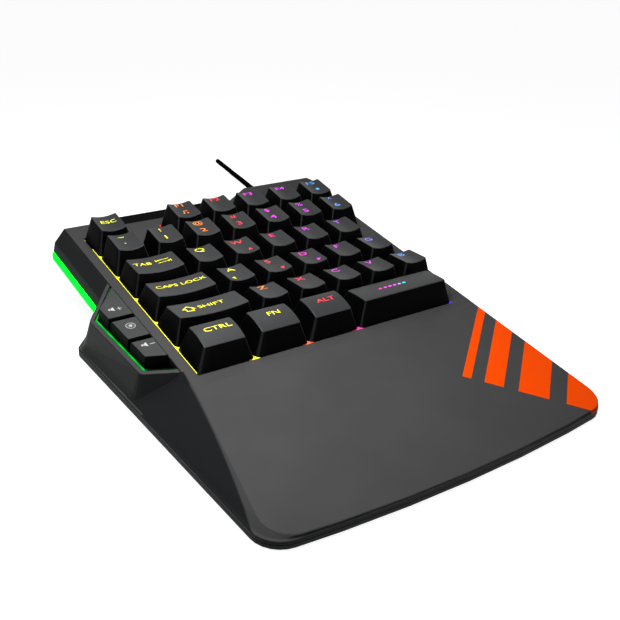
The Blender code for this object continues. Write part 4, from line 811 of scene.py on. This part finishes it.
first_dome = turned_dome()
for shape in CAPS:
    dome = first_dome.copy()
    dome.data = first_dome.data.copy()
    dome.name = "dome_" + shape.name
    scene.collection.objects.link(dome)
    settle(dome, DECK @ Matrix.Translation((shape.x, shape.y, SHEET_TOP)))
    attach(dome, "case")
    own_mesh(dome)
bpy.data.objects.remove(first_dome)
print("domes", len(CAPS))

# %% [markdown]
# ## Legends
# The legends are clear in black caps, so the light below shows in them: yellow at the left, through
# red and magenta, to blue at the right. They are text made into meshes and laid on each dish a
# hair above it. One material colours them by where they stand, as the real light strip does. Under
# the space bar the colours turn sooner, and one corner by F1 is red, so these have their own colours.

# %% The light's colours across the deck
FIELD_WIDTH = 0.1334
LIGHT_STOPS = (
    (0.0, "#f2ee1c"), (0.0435, "#f2ee1c"), (0.0455, "#f08a2a"), (0.049, "#f07c2c"), (0.0515, "#ee4038"),
    (0.067, "#ee3040"), (0.076, "#e8307a"), (0.083, "#ea35e0"), (0.104, "#e63cf0"), (0.115, "#a860f0"),
    (0.124, "#4fa0ee"), (0.1265, "#4fa0ee"), (0.128, "#5038f0"),
)
SPACE_STOPS = (
    (0.0945, "#f03098"), (0.0965, "#f038e0"), (0.101, "#f038f8"), (0.1036, "#b8a0f8"), (0.106, "#38d0f0"),
)
CORNER_STOPS = ((0.0, "#e01414"), (FIELD_WIDTH, "#e01414"))


def rainbow(tree, stops):
    """The light's colour at each place, from left to right over the key field."""
    place = add(tree, "TexCoord").outputs["Object"]
    across = add(tree, "SeparateXYZ", {"Vector": place}).outputs["X"]
    field = {"From Min": -MIDDLE_X, "From Max": FIELD_WIDTH - MIDDLE_X}
    share = add(tree, "MapRange", {"Value": across, **field})
    ramp = add(tree, "ValToRGB", {"Fac": share.outputs["Result"]})
    while len(ramp.color_ramp.elements) < len(stops):
        ramp.color_ramp.elements.new(0.5)
    for element, (place, colour) in zip(ramp.color_ramp.elements, stops):
        element.position = place / FIELD_WIDTH
        element.color = linear(colour)
    return ramp.outputs["Color"]


def lit_by_strip(name, strength, stops=LIGHT_STOPS):
    """A glow in the light strip's colours: clear plastic in the legends, painted light between the caps."""
    made, tree, shader = new_finish(name)
    colour = rainbow(tree, stops)
    tree.links.new(colour, shader.inputs["Base Color"])
    tree.links.new(colour, shader.inputs["Emission Color"])
    shader.inputs["Emission Strength"].default_value = strength
    shader.inputs["Roughness"].default_value = 0.4
    return made


legend_glow = lit_by_strip("legend_clear_abs_backlit", 0.75)
space_glow = lit_by_strip("space_bar_clear_abs_backlit", 0.85, SPACE_STOPS)
# Painted light: these glows between the caps stand for the backlight that spills up through the gaps.
leak_glow = lit_by_strip("light_web_clear_acrylic", 0.9)
corner_glow = lit_by_strip("light_corner_clear_acrylic", 0.8, CORNER_STOPS)
gap_spill_glow = lit_by_strip("light_rib_clear_acrylic", 0.25)
print("stops of colour", len(LIGHT_STOPS))

# %% [markdown]
# Each mark is text, a polygon or a ring, given in millimetres from the middle of its cap's top. The
# built-in face is widened, like the lettering on the real caps. An outline is a plain list of
# corners, so small helpers can move it and turn it before it becomes a face.

# %% Text and outlines
def text_mesh(words, size, stretch):
    """Centred text as a mesh in mm."""
    bpy.ops.object.text_add()
    made = bpy.context.object
    made.data.body = words
    made.data.size = size
    made.data.align_x, made.data.align_y = "CENTER", "CENTER"
    made.data.resolution_u = 3
    bpy.ops.object.convert(target="MESH")
    made = bpy.context.object
    made.data.transform(Matrix.Diagonal((stretch, 1, 1, 1)))
    return made


def flat_mesh(outlines):
    """Flat shapes as one mesh, each given by its corners in mm."""
    bpy.ops.object.select_all(action="DESELECT")
    bm = bmesh.new()
    for outline in outlines:
        bm.faces.new([bm.verts.new((x, y, 0)) for x, y in outline])
    mesh = bpy.data.meshes.new("marks")
    bm.to_mesh(mesh)
    bm.free()
    made = bpy.data.objects.new("marks", mesh)
    scene.collection.objects.link(made)
    return made


def strip(x0, y0, x1, y1):
    """A rectangle's corners."""
    return [(x0, y0), (x1, y0), (x1, y1), (x0, y1)]


def moved(outline, x, y):
    """The outline shifted by x and y."""
    return [(a + x, b + y) for a, b in outline]


def turned(outline, angle):
    """The outline turned about the origin."""
    cos, sin = math.cos(angle), math.sin(angle)
    return [(x * cos - y * sin, x * sin + y * cos) for x, y in outline]


def circle(radius, sides=24):
    """A round outline's corners."""
    return [turned([(radius, 0)], math.tau * k / sides)[0] for k in range(sides)]


def outline_band(outer, inner):
    """The four-sided pieces between an outer outline and an inner one of as many corners."""
    count = len(outer)
    return [[outer[i], outer[(i + 1) % count], inner[(i + 1) % count], inner[i]] for i in range(count)]


print("pieces in a ring", len(outline_band(circle(2.0), circle(1.7))))

# %% [markdown]
# Some caps carry a sign: arrows, notes, a square, or a row of dots. Each is a few outlines round
# the sign's middle, with the place of that middle on its cap.

# %% Signs on the caps
HEAD = [(1.2, 0), (-0.5, 1.0), (-0.5, -1.0)]
HEAD_UP, HEAD_LEFT, HEAD_DOWN = [turned(HEAD, math.pi / 2 * turns) for turns in (1, 2, 3)]
TAB_ARROW = [strip(-2.8, -0.13, 2.2, 0.13), [(2.9, 0), (1.9, 0.55), (1.9, -0.55)], strip(3.0, -0.8, 3.3, 0.8)]
TAB_BACK = [moved(turned(outline, math.pi), 0, 2.0) for outline in TAB_ARROW]
NOTE = [circle(0.45, 12), strip(0.22, 0, 0.45, 2.0)]
NOTES = [moved(outline, x, -0.9) for x in (-1.1, 0.9) for outline in NOTE] + [strip(-0.88, 0.75, 1.35, 1.15)]
DOT = [(0.85 * x, 0.6 * y) for x, y in circle(1, 12)]
DOTS = [moved(DOT, 2.64 * place - 6.6, 0) for place in range(6)]
SHIFT_OUTER = [(-3.2, -0.3), (0, 2.4), (3.2, -0.3), (1.7, -0.3), (1.7, -2.2), (-1.7, -2.2), (-1.7, -0.3)]
SHIFT_INNER = [(-2.0, 0.2), (0, 1.8), (2.0, 0.2), (1.2, 0.2), (1.2, -1.7), (-1.2, -1.7), (-1.2, 0.2)]
SIGNS = {
    "space": (DOTS, -2.8, 0.1),
    "shift": (outline_band(SHIFT_OUTER, SHIFT_INNER), -8.3, 0.5),
    "tab": (TAB_BACK + TAB_ARROW, 4.3, 0.1),
    "f1": (NOTES, 0.0, -1.65),
    "f5": ([strip(-0.9, -0.8, 0.9, 0.8)], 0.6, -1.65),
    "w": ([HEAD_UP], 2.3, -3.8),
    "a": ([HEAD_LEFT], -2.8, -3.8),
    "s": ([HEAD_DOWN], 2.6, -3.8),
    "d": ([HEAD], 2.8, -3.8),
}
print("caps with a sign", len(SIGNS))

# %% [markdown]
# A table gives each word's size, stretch and place. Digits carry a symbol behind them. A mark's
# points are lifted onto the dish, whose formula the cap's shape keeps, and one cap's marks are joined.

# %% Write the legends
SYMBOLS = {"grave": "`~", "1": "1!", "2": "2@", "3": "3#", "4": "4$", "5": "5%", "6": "6^"}
LETTER, DIGIT, SYMBOL = (3.9, 1.6, -0.5, 3.7), (3.9, 1.9, -0.5, -1.9), (3.6, 1.5, -0.6, 4.2)
WORDS = {
    **dict.fromkeys(("ctrl", "fn", "alt"), (3.4, 1.5, 0.9, 1.5)),
    **dict.fromkeys(("f1", "f2", "f3", "f4", "f5"), (3.3, 1.75, -0.1, 4.3)),
    "shift": (3.2, 1.5, 1.7, 0.6),
    "caps_lock": (3.0, 1.45, 0.7, 1.4),
    "tab": (3.0, 1.5, -5.3, 1.1),
    "esc": (3.2, 1.5, 0.3, 1.0),
}
MARK_LIFT = 0.00005


def word(words, size, stretch, x, y):
    """A word as a mark: its mesh and its place."""
    return text_mesh(words, size, stretch), x, y


def marks_of(name):
    """What a cap says: (mesh, x, y) for each mark."""
    found = []
    if name in SYMBOLS:
        low, high = SYMBOLS[name]
        found += [word(high, *SYMBOL), word(low, *DIGIT)]
    elif name != "space":
        found.append(word(name.upper().replace("_", " "), *WORDS.get(name, LETTER)))
    if name in SIGNS:
        outlines, x, y = SIGNS[name]
        found.append((flat_mesh(outlines), x, y))
    return found


def lay_on_cap(marks, shape, x, y):
    """Moves a mark's points, in mm, onto the top of a cap, at x and y mm from its middle."""
    depth = 1000 * (shape.back - shape.front)
    for vert in marks.data.vertices:
        s = (vert.co.x + x) / (1000 * shape.half_top)
        t = (vert.co.y + y) / depth + 0.5
        vert.co = shape.top(s, t) + Vector((0, 0, MARK_LIFT))


for shape in CAPS:
    made = marks_of(shape.name)
    for marks, x, y in made:
        lay_on_cap(marks, shape, x, y)
    first = made[0][0]
    select_only(first)
    for marks, x, y in made[1:]:
        marks.select_set(True)
    if len(made) > 1:
        bpy.ops.object.join()
    first.name = "legend_" + shape.name
    first.data.materials.clear()
    first.data.materials.append(space_glow if shape.name == "space" else legend_glow)
    settle(first, DECK @ Matrix.Translation((shape.x, shape.y, 0)))
    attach(first, "key_" + shape.name)
print("legends", len(CAPS))

# %% [markdown]
# ## Light between the caps
# Glowing strips on the key plate between the caps are painted light for the backlight that spills up
# through the gaps. It shows as a thin line along the well's left edge, as bright triangles where the
# rounded corners of two caps meet the edge, and as a red corner by F1. All are flat outlines in mm, extruded
# down.

# %% Painted light on the edges and ribs of the well
MARK_CLEARANCE, MARK_INSET = 0.07, 0.1
ARC_ANGLES = range(12, 79, 11)
MARK_TOP, MARK_DEPTH = -0.08, 3.5
RIB_TOP, RIB_DEPTH = -0.4, 3.2
RIB_HALF, RIB_END = 0.15, 0.6
FOOT_MIDDLE = 1000 * (CAP_GAP / 2 + FOOT_CORNER)
FOOT_CLEAR = 1000 * FOOT_CORNER + MARK_CLEARANCE
FOOT_ARC = [turned([(-FOOT_CLEAR, 0)], math.radians(angle))[0] for angle in ARC_ANGLES]
BESIDE_FOOT = [(MARK_INSET, FOOT_MIDDLE), *moved(FOOT_ARC, FOOT_MIDDLE, FOOT_MIDDLE)]
STEP = 1000 * PITCH
LEFT_LINE = strip(0.12, 1.6, 0.34, 103.5)
SPACE_BAR_END = strip(6.75 * STEP - 0.42, 0.2, 6.75 * STEP - 0.1, 1.6)
REAR_LEFT = strip(0.08, 6 * STEP - 2, 0.38, 6 * STEP - 0.1)


def edge_mark(x, y, sideways):
    """A bright triangle at a corner: its base on the well's edge at x, y, pointing into the field."""
    outline = BESIDE_FOOT + [(along, -half) for along, half in reversed(BESIDE_FOOT)]
    return [(x + b, y + a) if sideways else (x + a, y + b) for a, b in outline]


def lit_piece(name, outlines, top, drop, finish):
    """Shapes with flat tops at a height over the deck, and the depth given."""
    made = flat_mesh(outlines)
    select_only(made)
    bpy.ops.object.mode_set(mode="EDIT")
    bpy.ops.mesh.select_all(action="SELECT")
    bpy.ops.mesh.extrude_region_move(TRANSFORM_OT_translate={"value": (0, 0, -drop)})
    bpy.ops.mesh.select_all(action="SELECT")
    bpy.ops.mesh.normals_make_consistent(inside=False)
    bpy.ops.object.mode_set(mode="OBJECT")
    made.name = name
    made.data.materials.append(finish)
    settle(made, DECK @ Matrix.Translation((0, 0, top / 1000)) @ Matrix.Scale(0.001, 4))
    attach(made, "case")


marks = [LEFT_LINE]
marks += [edge_mark(0, row * STEP, False) for row in range(1, 6)]
marks += [edge_mark(share * 4 / 3 * STEP, 0, True) for share in (1, 2, 3)]
marks.append(SPACE_BAR_END)
lit_piece("backlight_edge", marks, MARK_TOP, MARK_DEPTH, leak_glow)
corner = [(along, -half) for along, half in BESIDE_FOOT]
corner += [(FOOT_MIDDLE, -MARK_INSET), (MARK_INSET, -MARK_INSET)]
lit_piece("backlight_corner", [moved(corner, 2 * STEP, 6 * STEP)], MARK_TOP, MARK_DEPTH, corner_glow)

ribs = [strip(RIB_END, row * STEP - RIB_HALF, 6.6 * STEP, row * STEP + RIB_HALF) for row in range(1, 6)]
for row, keys in enumerate(KEY_ROWS):
    front, back = row * STEP + RIB_END, (row + 1) * STEP - RIB_END
    left = 0
    for name, share in keys[:-1]:
        left += share * STEP
        ribs.append(strip(left - RIB_HALF, front, left + RIB_HALF, back))
ribs.append(REAR_LEFT)
lit_piece("backlight_ribs", ribs, RIB_TOP, RIB_DEPTH, gap_spill_glow)
print("lit marks", len(marks), "ribs", len(ribs))

# %% [markdown]
# ## Signs on the media keys
# The three keys in the wing carry printed signs for louder, light and quieter. They are flat shapes
# laid just over the keys' tops: a loudspeaker from two outlines, a ring round a small sun, and bars.

# %% Print the signs
SIGN_HEIGHT = 0.00154
HORN = [strip(-1.7, -0.55, -0.95, 0.55), [(-0.7, -0.5), (0.7, -1.4), (0.7, 1.4), (-0.7, 0.5)]]
BAR, UPRIGHT = strip(-1.1, -0.18, 1.1, 0.18), strip(-0.18, -1.1, 0.18, 1.1)
RAY = [(0.93, 0.19), (0.93, -0.19), (1.35, 0)]
RAYS = [turned(RAY, math.tau * share / 8) for share in range(8)]
SUN = [circle(0.7), *outline_band(circle(2.0), circle(1.72)), *RAYS]
MEDIA_SIGNS = {
    "sign_louder": ("key_volume_up", (HORN, -12.1, 51.9), ([BAR, UPRIGHT], -9.3, 51.6)),
    "sign_light": ("key_light", (SUN, -10.2, 38.3)),
    "sign_quieter": ("key_volume_down", (HORN, -10.3, 24.2), ([BAR], -7.6, 23.9)),
}

sign_ink = moulded_abs("sign_ink_grey", "#b4b4b4", "#bcbcbc", 0.5, edge=0.02, gloss=0.1)
for name, (key, *groups) in MEDIA_SIGNS.items():
    sign = flat_mesh([moved(outline, x, y) for outlines, x, y in groups for outline in outlines])
    sign.name = name
    sign.data.materials.append(sign_ink)
    settle(sign, DECK @ Matrix.Translation((0, 0, SIGN_HEIGHT)) @ Matrix.Scale(0.001, 4))
    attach(sign, key)
print("signs printed", len(MEDIA_SIGNS))
